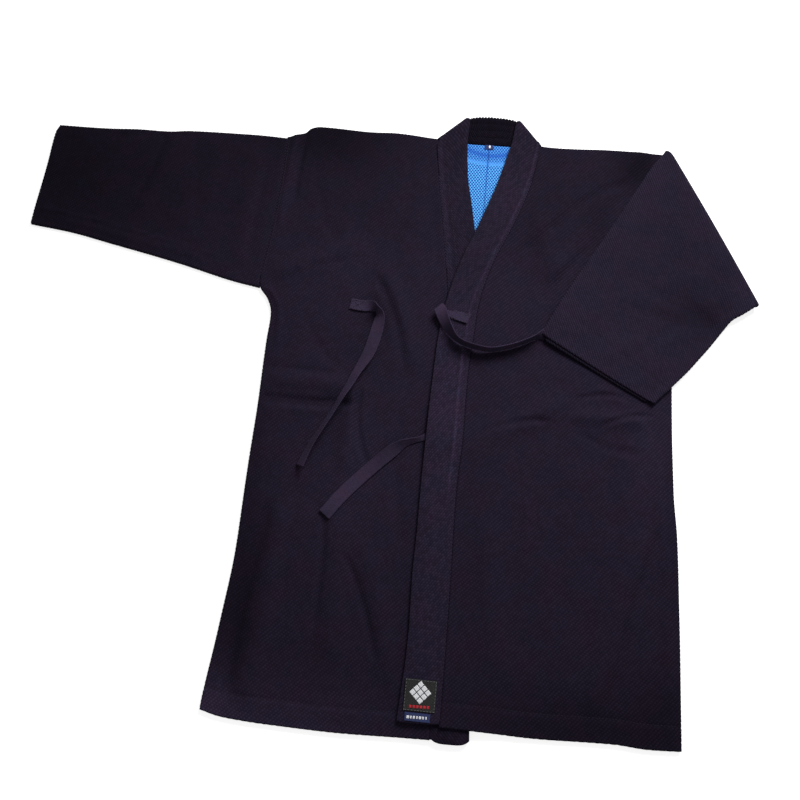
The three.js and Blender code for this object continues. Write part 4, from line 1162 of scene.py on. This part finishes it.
def meshMaterial(look):
    # Staggered rows of small holes: distance of a point from its cell's middle, every other row half
    # a cell on; a hole where it is under holeSize.
    material = bpy.data.materials.new("mesh_lining")
    material.use_nodes = True
    tree = material.node_tree
    shader = tree.nodes["Principled BSDF"]
    cut = put(tree, "ShaderNodeTexCoord").outputs["UV"]
    parts = put(tree, "ShaderNodeSeparateXYZ", {0: cut})
    p = calc(tree, "DIVIDE", parts.outputs[0], look["pitch"] * mm)
    q = calc(tree, "DIVIDE", parts.outputs[1], look["pitch"] * mm * 0.69)
    row = calc(tree, "FLOOR", q)
    shifted = calc(tree, "ADD", p, calc(tree, "MULTIPLY", row, 0.5))
    dx = calc(tree, "SUBTRACT", calc(tree, "FRACT", shifted), 0.5)
    dy = calc(tree, "MULTIPLY", calc(tree, "SUBTRACT", calc(tree, "FRACT", q), 0.5), 0.69)
    square = calc(tree, "ADD", calc(tree, "MULTIPLY", dx, dx), calc(tree, "MULTIPLY", dy, dy))
    distance = calc(tree, "SQRT", square)
    rim = {1: look["holeSize"] * 0.8, 2: look["holeSize"] * 1.2, 3: 1.0, 4: 0.0}
    holes = put(tree, "ShaderNodeMapRange", {0: distance, **rim}).outputs[0]
    # On the lining the attribute sets its darker zones, the streak and the seam line
    paintedShadeAndMarks = put(tree, "ShaderNodeAttribute", attribute_name="paintedShadeAndMarks").outputs["Fac"]
    fibre = put(tree, "ShaderNodeTexNoise", {"Vector": cut, "Scale": 900.0, "Detail": 2.0}).outputs[0]
    ground = put(
        tree, "ShaderNodeMix", {0: paintedShadeAndMarks, 6: (*look["band"], 1), 7: (*look["thread"], 1)}, data_type="RGBA"
    ).outputs[2]
    closed = put(tree, "ShaderNodeAttribute", attribute_name="closed").outputs["Fac"]
    holes = calc(tree, "MULTIPLY", holes, calc(tree, "SUBTRACT", 1.0, closed))
    colour = put(
        tree, "ShaderNodeMix", {0: holes, 6: ground, 7: (*look["hole"], 1)}, data_type="RGBA"
    ).outputs[2]
    gain = calc(tree, "MULTIPLY_ADD", fibre, 0.3, 0.85)
    final = put(tree, "ShaderNodeVectorMath", {0: colour, "Scale": gain}, operation="SCALE").outputs[0]
    tree.links.new(final, shader.inputs["Base Color"])
    tree.links.new(calc(tree, "MULTIPLY_ADD", holes, 0.2, 0.7), shader.inputs["Roughness"])
    shader.inputs["Specular IOR Level"].default_value = 0.25
    height = calc(tree, "SUBTRACT", calc(tree, "MULTIPLY", fibre, 0.3), holes)
    bump = put(tree, "ShaderNodeBump", {"Strength": 0.8, "Distance": 0.4 * mm, "Height": height})
    tree.links.new(bump.outputs[0], shader.inputs["Normal"])
    return material


meshCloth = meshMaterial(liningLook)
liningEdge = {"right": curve((400, 84), (240, 104)), "left": curve((400, 187), (240, 134))}


def liningPiece(which):
    # Flat panel over the back, with a slow waviness and a pinch along the centre seam. The belt is a
    # closed bright row, the streak a darker one above it.
    towards = -1 if which == "right" else 1
    centre = lambda y: centreBack(y) + towards * 0.04
    outer = liningEdge[which]
    left, right = (outer, centre) if which == "right" else (centre, outer)
    low = lambda x: liningLook["foot"] + 0 * x
    high = lambda x: neckline + 0 * x
    u = np.linspace(0, 1, liningLook["across"] + 1)[None, :]
    v = np.linspace(0, 1, liningLook["along"] + 1)[:, None]
    x, y = insideEdges(left, right, low, high, u, v)
    fromSeam = np.abs(x - centre(y))
    lift = 0.25 + 0.2 * np.sin(x / 9.3 + y / 21) * np.sin(y / 13.7) - 0.35 * np.exp(-((fromSeam / 1.6) ** 2))
    seen = smooth(244, 262, y)
    middle = np.stack([x, y, liningBase + 0.5 + np.maximum(lift, -0.1) * seen * 0.6], -1)
    out = np.broadcast_to(np.array([0.0, 0, 1]), middle.shape)
    bow = ((x - 138) / 30) ** 2
    streak = np.exp(-(((y - liningLook["streakAt"] - 6 * bow) / 3.6) ** 2))
    overBelt = y - liningLook["beltAt"] - 3.5 * bow
    belt = np.exp(-((overBelt / 2.7) ** 2))
    below = np.exp(-(((overBelt + 5.5) / 1.5) ** 2))
    above = smooth(-5, 0, overBelt)
    seamLine = np.exp(-((fromSeam / 1.0) ** 2))
    shade = 1 - 0.4 * above - 0.55 * streak - 0.2 * belt - 0.25 * below - 0.7 * seamLine
    piece = shell(
        "lining_" + which + "_mesh", middle, out, liningLook["wall"], np.stack([x, y], -1), meshCloth,
        shade=np.clip(shade, 0, 1),
    )
    closed = piece.data.attributes.new("closed", "FLOAT", "POINT")
    closed.data.foreach_set("value", np.tile(np.clip(0.6 * belt, 0, 1).ravel(), 2))
    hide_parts("lining_" + which)
    return piece


liningPiece("right")
liningPiece("left")

# Ties: middle line (x, y), direction of the width in plan, tip on edge, height over what is below
# and share of the width that the gather at a seam leaves
tieCells = {"across": 14, "along": 220}
ties = {
    "tie_outer_right": {
        "rows": [
            (-51, 126, 80, 0, 0, 0.9), (-34, 124, 80, 0, 0, 0.9), (-20, 123, 76, 34, 4, 0.86),
            (-12, 119, 50, 80, 8, 0.9), (-8, 107, 12, 34, 5, 0.95), (-11, 84, -12, 10, 1.8, 1),
            (-18, 56, -20, 14, 2.2, 1), (-29, 30, -26, 38, 5.6, 1), (-41, 2, -27, 50, 6.9, 1),
            (-55, -25, -30, 60, 7.8, 1), (-73, -59, -30, 60, 7.8, 1), (-86, -84, -28, 56, 7.4, 1),
            (-97, -113, -24, 50, 6.9, 1),
        ],
        "flat": (0.018, 0.30),
        "restsOn": ["front_right_cloth"],
    },
    "tie_outer_left": {
        "rows": [
            (118, 113, 68, 0, 0, 0.86), (101, 117, 66, 0, 0, 0.68), (90, 119.5, 62, 0, 0.2, 0.5),
            (82, 121, 56, 0, 1.2, 0.48), (76, 123, 50, 0, 2.6, 0.55), (73.5, 127, 45, 0, 3.8, 0.8),
            (77, 122.5, 43, 8, 4.6, 0.96), (82.5, 110, 43, 34, 5.8, 1),
            (90, 95, 48, 58, 8.0, 1), (103, 79, 60, 84, 9.2, 1), (122, 71, 88, 88, 9.2, 1),
            (147, 68, 100, 89, 9.2, 1), (173, 74, 110, 89, 9.2, 1), (196, 84, 114, 88, 9.0, 1),
            (214, 94, 114, 78, 8.4, 0.9), (236, 105, 114, 4, 0.6, 1), (262, 118, 114, 0, 0, 1),
        ],
        "flat": (0.018, 0.27),
        "restsOn": ["collar_left_cloth", "front_left_cloth"],
    },
    "tie_inner": {
        "rows": [
            (112, -50, 88, 0, 0, 1), (92, -52, 90, 0, 0, 1), (74, -57, 96, 0, 0, 0.6),
            (60, -63.5, 102, 46, 2.6, 0.45), (48, -68, 108, 52, 4, 0.62), (38, -73, 116, 46, 4.8, 0.84),
            (24, -83.5, 127, 20, 2.8, 1), (2, -104, 132, 2, 0.3, 1), (-34, -143, 139, 0, 0, 1),
            (-58, -175, 142, 0, 0, 1),
        ],
        "flat": (0.018, 0.22),
        "restsOn": ["collar_right_cloth", "front_right_cloth"],
    },
}
tieRest = 0.45


def tieSupport(x, y):
    # Height of what a tie lies on: left front, over band, or right front and under band.
    leftFront = frontLow("left", x, y) + cloth["wall"]
    ridge = np.where(x > overBand["out"](y) - bandStyle["ridgeWidth"] - 6, 1.1, 0.3)
    onBand = neckBase + (overBase - neckBase) * overClimb(y) + cloth["band"] + ridge
    rightFront = frontLow("right", np.minimum(x, underBand["out"](y)), y) + cloth["wall"]
    under = smooth(-14, -1, x - underBand["out"](y))
    low = rightFront + (bandBase + cloth["band"] - rightFront) * under
    onLeft = (x > overBand["out"](y) + 2) & (y > -20)
    crossing = (x > overBand["in"](y) - 3) & (y > 60)
    return np.select([onLeft, crossing], [leftFront, onBand], low)


def tiePiece(name, rows):
    # Width direction (cos s cos t, sin s cos t, sin t) from swing s and tip t; the middle line lies
    # tieRest over the highest point of its support, smoothed along the tape.
    table = np.array(rows, float)
    spot = np.arange(len(table))
    column = [curve(*zip(spot, table[:, k])) for k in range(6)]
    v = np.linspace(0, len(table) - 1, tieCells["along"] + 1)
    x, y, swing, tip, high, gather = (c(v) for c in column)
    swing = np.radians(swing)
    tip = np.radians(tip)
    half = cloth["tapeWidth"] / 2 * gather
    spots = np.linspace(-1, 1, 7)[:, None] * half * np.cos(tip)
    below = tieSupport(x + np.cos(swing) * spots, y + np.sin(swing) * spots).max(axis=0)
    steps = np.arange(-9, 10)
    padded = np.pad(below, 9, mode="edge")
    window = np.stack([padded[9 + s:9 + s + len(below)] for s in steps])
    raised = window.max(axis=0)
    weights = np.exp(-((steps / 5.0) ** 2))
    padded = np.pad(raised, 9, mode="edge")
    level = sum(weights[k] * padded[9 + s:9 + s + len(below)] for k, s in enumerate(steps)) / weights.sum()
    z = level + tieRest + cloth["tape"] / 2 + np.maximum(high, 0)
    line = np.stack([x, y, z], -1)
    width = np.stack([np.cos(swing) * np.cos(tip), np.sin(swing) * np.cos(tip), np.sin(tip)], -1)
    tangent = np.gradient(line, axis=0)
    tangent = tangent / np.linalg.norm(tangent, axis=1)[:, None]
    normal = np.cross(width, tangent)
    normal = normal / np.linalg.norm(normal, axis=1)[:, None]
    u = np.linspace(-0.5, 0.5, tieCells["across"] + 1)[None, :, None]
    middle = line[:, None, :] + width[:, None, :] * u * (2 * half)[:, None, None]
    out = np.broadcast_to(normal[:, None, :], middle.shape)
    run = np.concatenate([[0], np.cumsum(np.linalg.norm(np.diff(line, axis=0), axis=1))])
    flat = np.stack([u[..., 0] * cloth["tapeWidth"] + 0 * run[:, None], run[:, None] + 0 * u[..., 0]], -1)
    rim = 0.15 * np.exp(-(((0.5 - np.abs(u[..., 0])) * cloth["tapeWidth"] / 1.1) ** 2))
    rim = rim + 0 * run[:, None]
    piece = shell(
        name + "_tape", middle, out, cloth["tape"] - 0.7, flat, tapeCloth,
        proud=rim, under=rim, shade=1 + 0.12 * np.sin(run / 23)[:, None] + 0 * u[..., 0],
    )
    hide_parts(name)
    return {"line": line, "width": width, "normal": normal, "run": run}


madeTies = {name: tiePiece(name, t["rows"]) for name, t in ties.items()}
print("stage: ties made")

# Labels: woven, with a plain pale lattice, a row of plain red blocks and rows of pale ones
labels = {
    "maker": {"x": 84.5, "y": -390, "width": 40, "height": 38, "flat": (0.04, 0.038)},
    "care": {"x": 82.5, "y": -415.6, "width": 32, "height": 10, "flat": (0.032, 0.01)},
    "size": {
        "x": 134.2, "y": 395.2, "width": 13.2, "height": 7.4, "flat": (0.014, 0.01), "area": 0.000091
    },
}


def satinMaterial(name, colour, roughness, threads):
    # Fine threads across: bump = sin of the cut's y at the thread's pitch, with a little noise. The colour
    # follows the same wave, darker between the threads: painted shade.
    material = bpy.data.materials.new(name)
    material.use_nodes = True
    tree = material.node_tree
    shader = tree.nodes["Principled BSDF"]
    cut = put(tree, "ShaderNodeTexCoord").outputs["UV"]
    y = put(tree, "ShaderNodeSeparateXYZ", {0: cut}).outputs[1]
    wave = calc(tree, "SINE", calc(tree, "MULTIPLY", y, 2 * math.pi / (threads * mm)))
    noise = put(tree, "ShaderNodeTexNoise", {"Vector": cut, "Scale": 1200.0, "Detail": 1.0}).outputs[0]
    gain = calc(tree, "ADD", calc(tree, "MULTIPLY_ADD", wave, 0.12, 0.8), calc(tree, "MULTIPLY", noise, 0.4))
    tinted = put(tree, "ShaderNodeVectorMath", {0: colour, "Scale": gain}, operation="SCALE").outputs[0]
    tree.links.new(tinted, shader.inputs["Base Color"])
    tree.links.new(calc(tree, "MULTIPLY_ADD", noise, 0.1, roughness), shader.inputs["Roughness"])
    shader.inputs["Specular IOR Level"].default_value = 0.25
    bump = put(tree, "ShaderNodeBump", {"Strength": 0.7, "Distance": 0.15 * mm, "Height": wave})
    tree.links.new(bump.outputs[0], shader.inputs["Normal"])
    return material


blackSatin = satinMaterial("woven_label", (0.010, 0.0115, 0.010), 0.5, 0.6)
navySatin = satinMaterial("navy_label", (0.018, 0.03, 0.11), 0.5, 0.6)
whiteThread = satinMaterial("label_white", (0.82, 0.83, 0.86), 0.5, 0.5)
redThread = satinMaterial("label_red", (0.5, 0.02, 0.035), 0.5, 0.5)


def block(name, x, y, base, width, height, wall, material, cells=8, turn=0.0):
    # Flat cushioned rectangle, turned in plan, whose face sinks at its rim by a quarter of the wall.
    u = np.linspace(-0.5, 0.5, cells + 1)[None, :]
    v = np.linspace(-0.5, 0.5, cells + 1)[:, None]
    c = math.cos(math.radians(turn))
    s = math.sin(math.radians(turn))
    px = x + u * width * c - v * height * s
    py = y + u * width * s + v * height * c
    rim = -0.25 * wall * smooth(0.4, 0.5, np.maximum(np.abs(u) + 0 * v, np.abs(v) + 0 * u))
    middle = np.stack([px, py, 0 * px + base + wall / 2], -1)
    out = np.broadcast_to(np.array([0.0, 0, 1]), middle.shape)
    return shell(name, middle, out, wall, np.stack([px, py], -1), material, proud=rim)


def joined(name, parts):
    # One object from several, in the first one's place.
    for part in bpy.context.selected_objects:
        part.select_set(False)
    for part in parts:
        part.select_set(True)
    bpy.context.view_layer.objects.active = parts[0]
    bpy.ops.object.join()
    parts[0].name = name
    return parts[0]


bandTop = overBase + cloth["band"] + 0.35
labelBase = {"maker": bandTop, "care": bandTop, "size": liningBase + 1.35}
labelWall = 0.7
labelTurn = -1.5  # degrees, as the band leans at the hem
madeLabels = []
for key, item in labels.items():
    ground = blackSatin if key == "maker" else navySatin
    piece = block(
        "label_" + key + "_cloth", item["x"], item["y"], labelBase[key], item["width"], item["height"],
        labelWall, ground, cells=20, turn=labelTurn if key != "size" else 0,
    )
    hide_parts("label_" + key)
    madeLabels.append((key, item, piece))

# The maker's label carries a plain lattice of nine diamonds: side, step and places in steps
lattice = {
    "side": 5.9,
    "step": 4.8,
    "places": [(0, 0), (1, 1), (1, -1), (-1, 1), (-1, -1), (2, 0), (-2, 0), (0, 2), (0, -2)],
}


def labelMarks(key, item):
    # The lattice and the bars, each a low embroidered block on its label.
    base = labelBase[key] + labelWall
    made = []
    if key == "maker":
        for across, up in lattice["places"]:
            made.append(block(
                "mark", item["x"] + lattice["step"] * across, item["y"] + 3.6 + lattice["step"] * up, base,
                lattice["side"], lattice["side"], 0.35, whiteThread, cells=6, turn=43.5,
            ))
        for k in range(6):
            made.append(block(
                "bar", item["x"] - 11.4 + 4.4 * k, item["y"] - 13.2, base, 3.1, 3.4, 0.3, redThread,
                cells=4, turn=labelTurn,
            ))
    if key == "care":
        for k, width in enumerate((3.4, 2.0, 2.6, 1.8, 3.0, 2.2, 1.6)):
            made.append(block(
                "bar", item["x"] - 11.6 + 3.8 * k, item["y"] - 0.2, base, width, 3.4, 0.25, whiteThread,
                cells=3, turn=labelTurn,
            ))
    if key == "size":
        made.append(block(
            "bar", item["x"] + 0.5, item["y"] + 0.4, base, 2.6, 4.6, 0.25, whiteThread, cells=3
        ))
    return joined("label_" + key + "_marks", made)


for key, item, piece in madeLabels:
    marks = labelMarks(key, item)
print("stage: labels made")

# Stitches: short threads in rows, one joined mesh for each colour
stitchStyle = {"length": 3.0, "pitch": 4.3, "radius": 0.36, "sides": 5}
ribStyle = {"length": 3.9, "pitch": 4.7, "radius": 0.95, "sides": 6}  # ends of ribs at folded edges
seamRibStyle = {**ribStyle, "length": 5.2, "radius": 0.85}
seamSink = 0.7  # of the ribs' middles under the cloth's face


def stitchMesh(name, rows, material, style=stitchStyle):
    # Each stitch is a small spindle: rings at -1/2, -1/4, 1/4, 1/2 of its length along the row's
    # tangent, of radius 0.35, 1, 1, 0.35, the end rings sunk a little.
    centres = np.concatenate([r[0] for r in rows])
    tangents = np.concatenate([r[1] for r in rows])
    normals = np.concatenate([r[2] for r in rows])
    side = np.cross(normals, tangents)
    share = np.array([-0.5, -0.25, 0.25, 0.5])
    thick = np.array([0.35, 1, 1, 0.35])
    angle = 2 * math.pi * np.arange(style["sides"]) / style["sides"]
    ring = (
        centres[:, None, None, :]
        + tangents[:, None, None, :] * (share * style["length"])[None, :, None, None]
        + style["radius"] * thick[None, :, None, None] * (
            np.cos(angle)[None, None, :, None] * side[:, None, None, :]
            + np.sin(angle)[None, None, :, None] * normals[:, None, None, :]
        )
        - normals[:, None, None, :] * (0.25 * (thick < 1))[None, :, None, None]
    )
    count = len(centres)
    n = style["sides"]
    points = ring.reshape(-1, 3)
    k = np.arange(n)
    around = np.stack([k, (k + 1) % n, (k + 1) % n + n, k + n], -1)
    block4 = np.concatenate([around + n * r for r in range(3)])
    start = (np.arange(count) * 4 * n)[:, None, None]
    quads = (block4[None] + start).reshape(-1, 4)
    first = k[::-1][None] + np.arange(count)[:, None] * 4 * n
    last = (k + 3 * n)[None] + np.arange(count)[:, None] * 4 * n
    faces = quads.tolist() + first.tolist() + last.tolist()
    mesh = bpy.data.meshes.new(name)
    mesh.from_pydata((points * mm).tolist(), [], faces)
    mesh.update()
    mesh.polygons.foreach_set("use_smooth", np.ones(len(mesh.polygons), bool))
    mesh.materials.append(material)
    piece = bpy.data.objects.new(name, mesh)
    bpy.context.scene.collection.objects.link(piece)
    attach(piece, "root")
    return piece


def stitchRow(line, normal=(0.0, 0, 1), sink=0.0, pitch=None):
    # Spots every pitch along a polyline of points, with the line's direction there.
    line = np.asarray(line, float)
    step = np.linalg.norm(np.diff(line, axis=0), axis=1)
    run = np.concatenate([[0], np.cumsum(step)])
    pitch = pitch or stitchStyle["pitch"]
    spots = np.arange(pitch / 2, run[-1], pitch)
    centre = np.stack([np.interp(spots, run, line[:, k]) for k in range(3)], -1)
    ahead = np.stack([np.interp(spots + 0.8, run, line[:, k]) for k in range(3)], -1)
    behind = np.stack([np.interp(spots - 0.8, run, line[:, k]) for k in range(3)], -1)
    tangent = ahead - behind
    tangent = tangent / np.linalg.norm(tangent, axis=1)[:, None]
    up = np.broadcast_to(np.asarray(normal, float), tangent.shape)
    up = up - tangent * np.einsum("ij,ij->i", up, tangent)[:, None]
    up = up / np.linalg.norm(up, axis=1)[:, None]
    return centre - up * sink, tangent, up


def onFront(which, x, y):
    # A line on a front's face, a thread's sink above its upper side.
    return np.stack([x, y, frontLow(which, x, y) + cloth["wall"] + 0.12], -1)


def threadMaterial(name, colour, specular=0.2):
    # Twisted thread: colour lightened by fine noise, a fine bump.
    material = bpy.data.materials.new(name)
    material.use_nodes = True
    tree = material.node_tree
    shader = tree.nodes["Principled BSDF"]
    place = put(tree, "ShaderNodeTexCoord").outputs["Object"]
    noise = put(tree, "ShaderNodeTexNoise", {"Vector": place, "Scale": 1800.0, "Detail": 2.0}).outputs[0]
    gain = calc(tree, "MULTIPLY_ADD", noise, 1.0, 0.5)
    tinted = put(tree, "ShaderNodeVectorMath", {0: colour, "Scale": gain}, operation="SCALE").outputs[0]
    tree.links.new(tinted, shader.inputs["Base Color"])
    tree.links.new(calc(tree, "MULTIPLY_ADD", noise, 0.2, 0.6), shader.inputs["Roughness"])
    shader.inputs["Specular IOR Level"].default_value = specular
    bump = put(tree, "ShaderNodeBump", {"Strength": 0.6, "Distance": 0.1 * mm, "Height": noise})
    tree.links.new(bump.outputs[0], shader.inputs["Normal"])
    return material


darkThread = threadMaterial("dark_thread", (0.012, 0.0085, 0.018))
bandThread = threadMaterial("band_thread", (0.0135, 0.0095, 0.019))
clothRows = []
xs = np.linspace(-184, 60, 200)
clothRows.append(stitchRow(onFront("right", xs, hemEdge["right"](xs) + hemTurn)))
xs = np.linspace(114, 406, 200)
clothRows.append(stitchRow(onFront("left", xs, hemEdge["left"](xs) + hemTurn)))
ys = np.linspace(168, 384, 160)
clothRows.append(stitchRow(onFront("right", sideEdge["right"](ys) + 3.2, ys)))
stitchMesh("stitches_cloth", clothRows, darkThread)


def edgeLine(x, y, z):
    # A line of points at one height, from x and y that may be single numbers.
    return np.stack([x + 0 * y, y + 0 * x, z + 0 * x + 0 * y], -1)


# Ends of ribs along the folded edges, darker than the cloth as painted shade, and a lighter row of them at
# the armhole seam
ribRows = []
ribInset = 0.3
for which, low, high in (("right", -424, 122), ("left", -428, 124)):
    towards = 1 if which == "right" else -1
    ys = np.linspace(low, high, 260)
    sideLine = edgeLine(sideEdge[which](ys) + towards * ribInset, ys, 2.6)
    ribRows.append(stitchRow(sideLine, pitch=ribStyle["pitch"]))
for which, low, high in (("right", -136, 50), ("left", 216, 390)):
    xs = np.linspace(low, high, 90)
    ribRows.append(stitchRow(edgeLine(xs, shoulderEdge[which](xs) - ribInset, 3.6), pitch=ribStyle["pitch"]))
xs = np.linspace(-514, -180, 170)
ribRows.append(stitchRow(edgeLine(xs, spread["top"](xs) - ribInset, 3.4), pitch=ribStyle["pitch"]))
xs = np.linspace(-522, -192, 170)
ribRows.append(stitchRow(edgeLine(xs, spread["foot"](xs) + ribInset, 3.4), pitch=ribStyle["pitch"]))
edgeShadeThread = threadMaterial("edge_ribs_painted_shade", (0.0062, 0.0046, 0.0092))
stitchMesh("edge_ribs_painted_shade", ribRows, edgeShadeThread, ribStyle)
ys = np.linspace(160, 386, 120)
seamRow = stitchRow(onFront("right", sideEdge["right"](ys) + 0.3, ys), sink=seamSink, pitch=ribStyle["pitch"])
seamThread = threadMaterial("seam_ribs", (0.0165, 0.0108, 0.0235), 0.03)
stitchMesh("seam_ribs", [seamRow], seamThread, seamRibStyle)


def onBand(which, w, y):
    # A line on a band's face, w across it at the heights y of its front stretch.
    edges = underBand if which == "right" else overBand
    x = edges["out"](y) * (1 - w) + edges["in"](y) * w
    z = bandLevel(which, x, y, w) + cloth["band"] / 2 + bandProfile(which, w + 0 * y, y)
    return np.stack([x, y, z + 0.15], -1)


bandRows = []
ys = np.linspace(-420, 338, 500)
for w in (0.055, 0.945):
    bandRows.append(stitchRow(onBand("left", w, ys)))
ys = np.linspace(-120, 338, 300)
bandRows.append(stitchRow(onBand("left", 0.31, ys)))
ys = np.linspace(160, 338, 160)
for w in (0.055, 0.31):
    bandRows.append(stitchRow(onBand("right", w, ys)))
stitchMesh("stitches_band", bandRows, bandThread)
# Ends of ribs along the bands' sewn edges
ys = np.linspace(-418, 338, 400)
leftEdgeRow = stitchRow(onBand("left", 0.004, ys), sink=seamSink, pitch=ribStyle["pitch"])
ys = np.linspace(190, 338, 100)
rightEdgeRow = stitchRow(onBand("right", 0.004, ys), sink=seamSink, pitch=ribStyle["pitch"])
bandEdgeThread = threadMaterial("band_ribs", (0.0195, 0.0128, 0.0275), 0.03)
stitchMesh("band_ribs", [leftEdgeRow, rightEdgeRow], bandEdgeThread, seamRibStyle)


def boxStitches(tie, start, end):
    # A stitched box with its two diagonals on the first stretch of a tape.
    run = tie["run"]
    half = cloth["tapeWidth"] / 2 - 2.2

    def at(s, across):
        # A point of the tape's face, s along it.
        point = np.array([np.interp(s, run, tie["line"][:, k]) for k in range(3)])
        width = np.array([np.interp(s, run, tie["width"][:, k]) for k in range(3)])
        normal = np.array([np.interp(s, run, tie["normal"][:, k]) for k in range(3)])
        normal = normal if normal[2] > 0 else -normal
        return point + width * across * half + normal * (cloth["tape"] / 2)

    corners = [(start, -1), (end, -1), (end, 1), (start, 1), (start, -1)]
    rows = []
    for p, q in [*zip(corners, corners[1:]), (corners[0], corners[2]), (corners[1], corners[3])]:
        rows.append(stitchRow([at(*p), at(*q)], pitch=3.6))
    return rows


tapeRows = boxStitches(madeTies["tie_outer_right"], 2, 20) + boxStitches(madeTies["tie_outer_left"], 2, 24)
tapeThread = threadMaterial("tape_thread", (0.034, 0.025, 0.046))
stitchMesh("stitches_tape", tapeRows, tapeThread)


def labelStitches(item, base):
    # A row of stitches round a label, just inside its edge.
    c = math.cos(math.radians(labelTurn))
    s = math.sin(math.radians(labelTurn))
    w = item["width"] / 2 - 1.2
    h = item["height"] / 2 - 1.2
    corners = [(-w, -h), (w, -h), (w, h), (-w, h), (-w, -h)]
    line = [(item["x"] + a * c - b * s, item["y"] + a * s + b * c, base + 0.72) for a, b in corners]
    return stitchRow(line, pitch=3.9)


greyThread = threadMaterial("label_thread", (0.12, 0.12, 0.13))
stitchMesh(
    "stitches_label", [labelStitches(labels["maker"], labelBase["maker"])], greyThread
)
print("stage: stitches made")

# Floor, light and camera
floorStyle = {"half": 15, "level": -0.0002, "grey": 0.5, "glow": 0.78}
side = floorStyle["half"]
floorCorners = [(-side, -side), (side, -side), (side, side), (-side, side)]
floorMesh = bpy.data.meshes.new("floor")
floorMesh.from_pydata([(x, y, floorStyle["level"]) for x, y in floorCorners], [], [(0, 1, 2, 3)])
floor = bpy.data.objects.new("floor", floorMesh)
bpy.context.scene.collection.objects.link(floor)
floorLook = bpy.data.materials.new("floor_paper")
floorLook.use_nodes = True
floorShader = floorLook.node_tree.nodes["Principled BSDF"]
floorShader.inputs["Base Color"].default_value = (*[floorStyle["grey"]] * 3, 1)
floorShader.inputs["Emission Color"].default_value = (1, 1, 1, 1)
floorShader.inputs["Emission Strength"].default_value = floorStyle["glow"]
floorShader.inputs["Roughness"].default_value = 1.0
floorShader.inputs["Specular IOR Level"].default_value = 0.0
floorMesh.materials.append(floorLook)

light = {
    "power": 23,
    "place": (0.5, 0.85, 0.95),
    "aim": (0.05, -0.05, 0),
    "size": 0.6,
    "sky": 0.36,
}
world = bpy.data.worlds.new("studio")
bpy.context.scene.world = world
world.use_nodes = True
world.node_tree.nodes["Background"].inputs["Color"].default_value = (1, 1, 1, 1)
world.node_tree.nodes["Background"].inputs["Strength"].default_value = light["sky"]
keyData = bpy.data.lights.new("key", "AREA")
keyData.energy = light["power"]
keyData.size = light["size"]
key = bpy.data.objects.new("key", keyData)
key.location = light["place"]
aim = mathutils.Vector(light["aim"]) - key.location
key.rotation_euler = aim.to_track_quat("-Z", "Y").to_euler()
bpy.context.scene.collection.objects.link(key)
bpy.context.scene.view_settings.view_transform = "Standard"
bpy.context.scene.view_settings.look = "None"

view = {"place": (0.052, -0.2943, 1.0722), "tilt": 15, "turn": 4.4, "lens": 36}
cameraData = bpy.data.cameras.new("camera")
cameraData.sensor_width = 36
cameraData.lens = view["lens"]
camera = bpy.data.objects.new("camera", cameraData)
camera.location = view["place"]
camera.rotation_euler = (math.radians(view["tilt"]), 0, math.radians(view["turn"]))
bpy.context.scene.collection.objects.link(camera)
bpy.context.scene.camera = camera

triangles = sum(len(p.loop_triangles) or len(p.polygons) * 2 for p in bpy.data.meshes)
print("stage: done, about", triangles, "triangles")
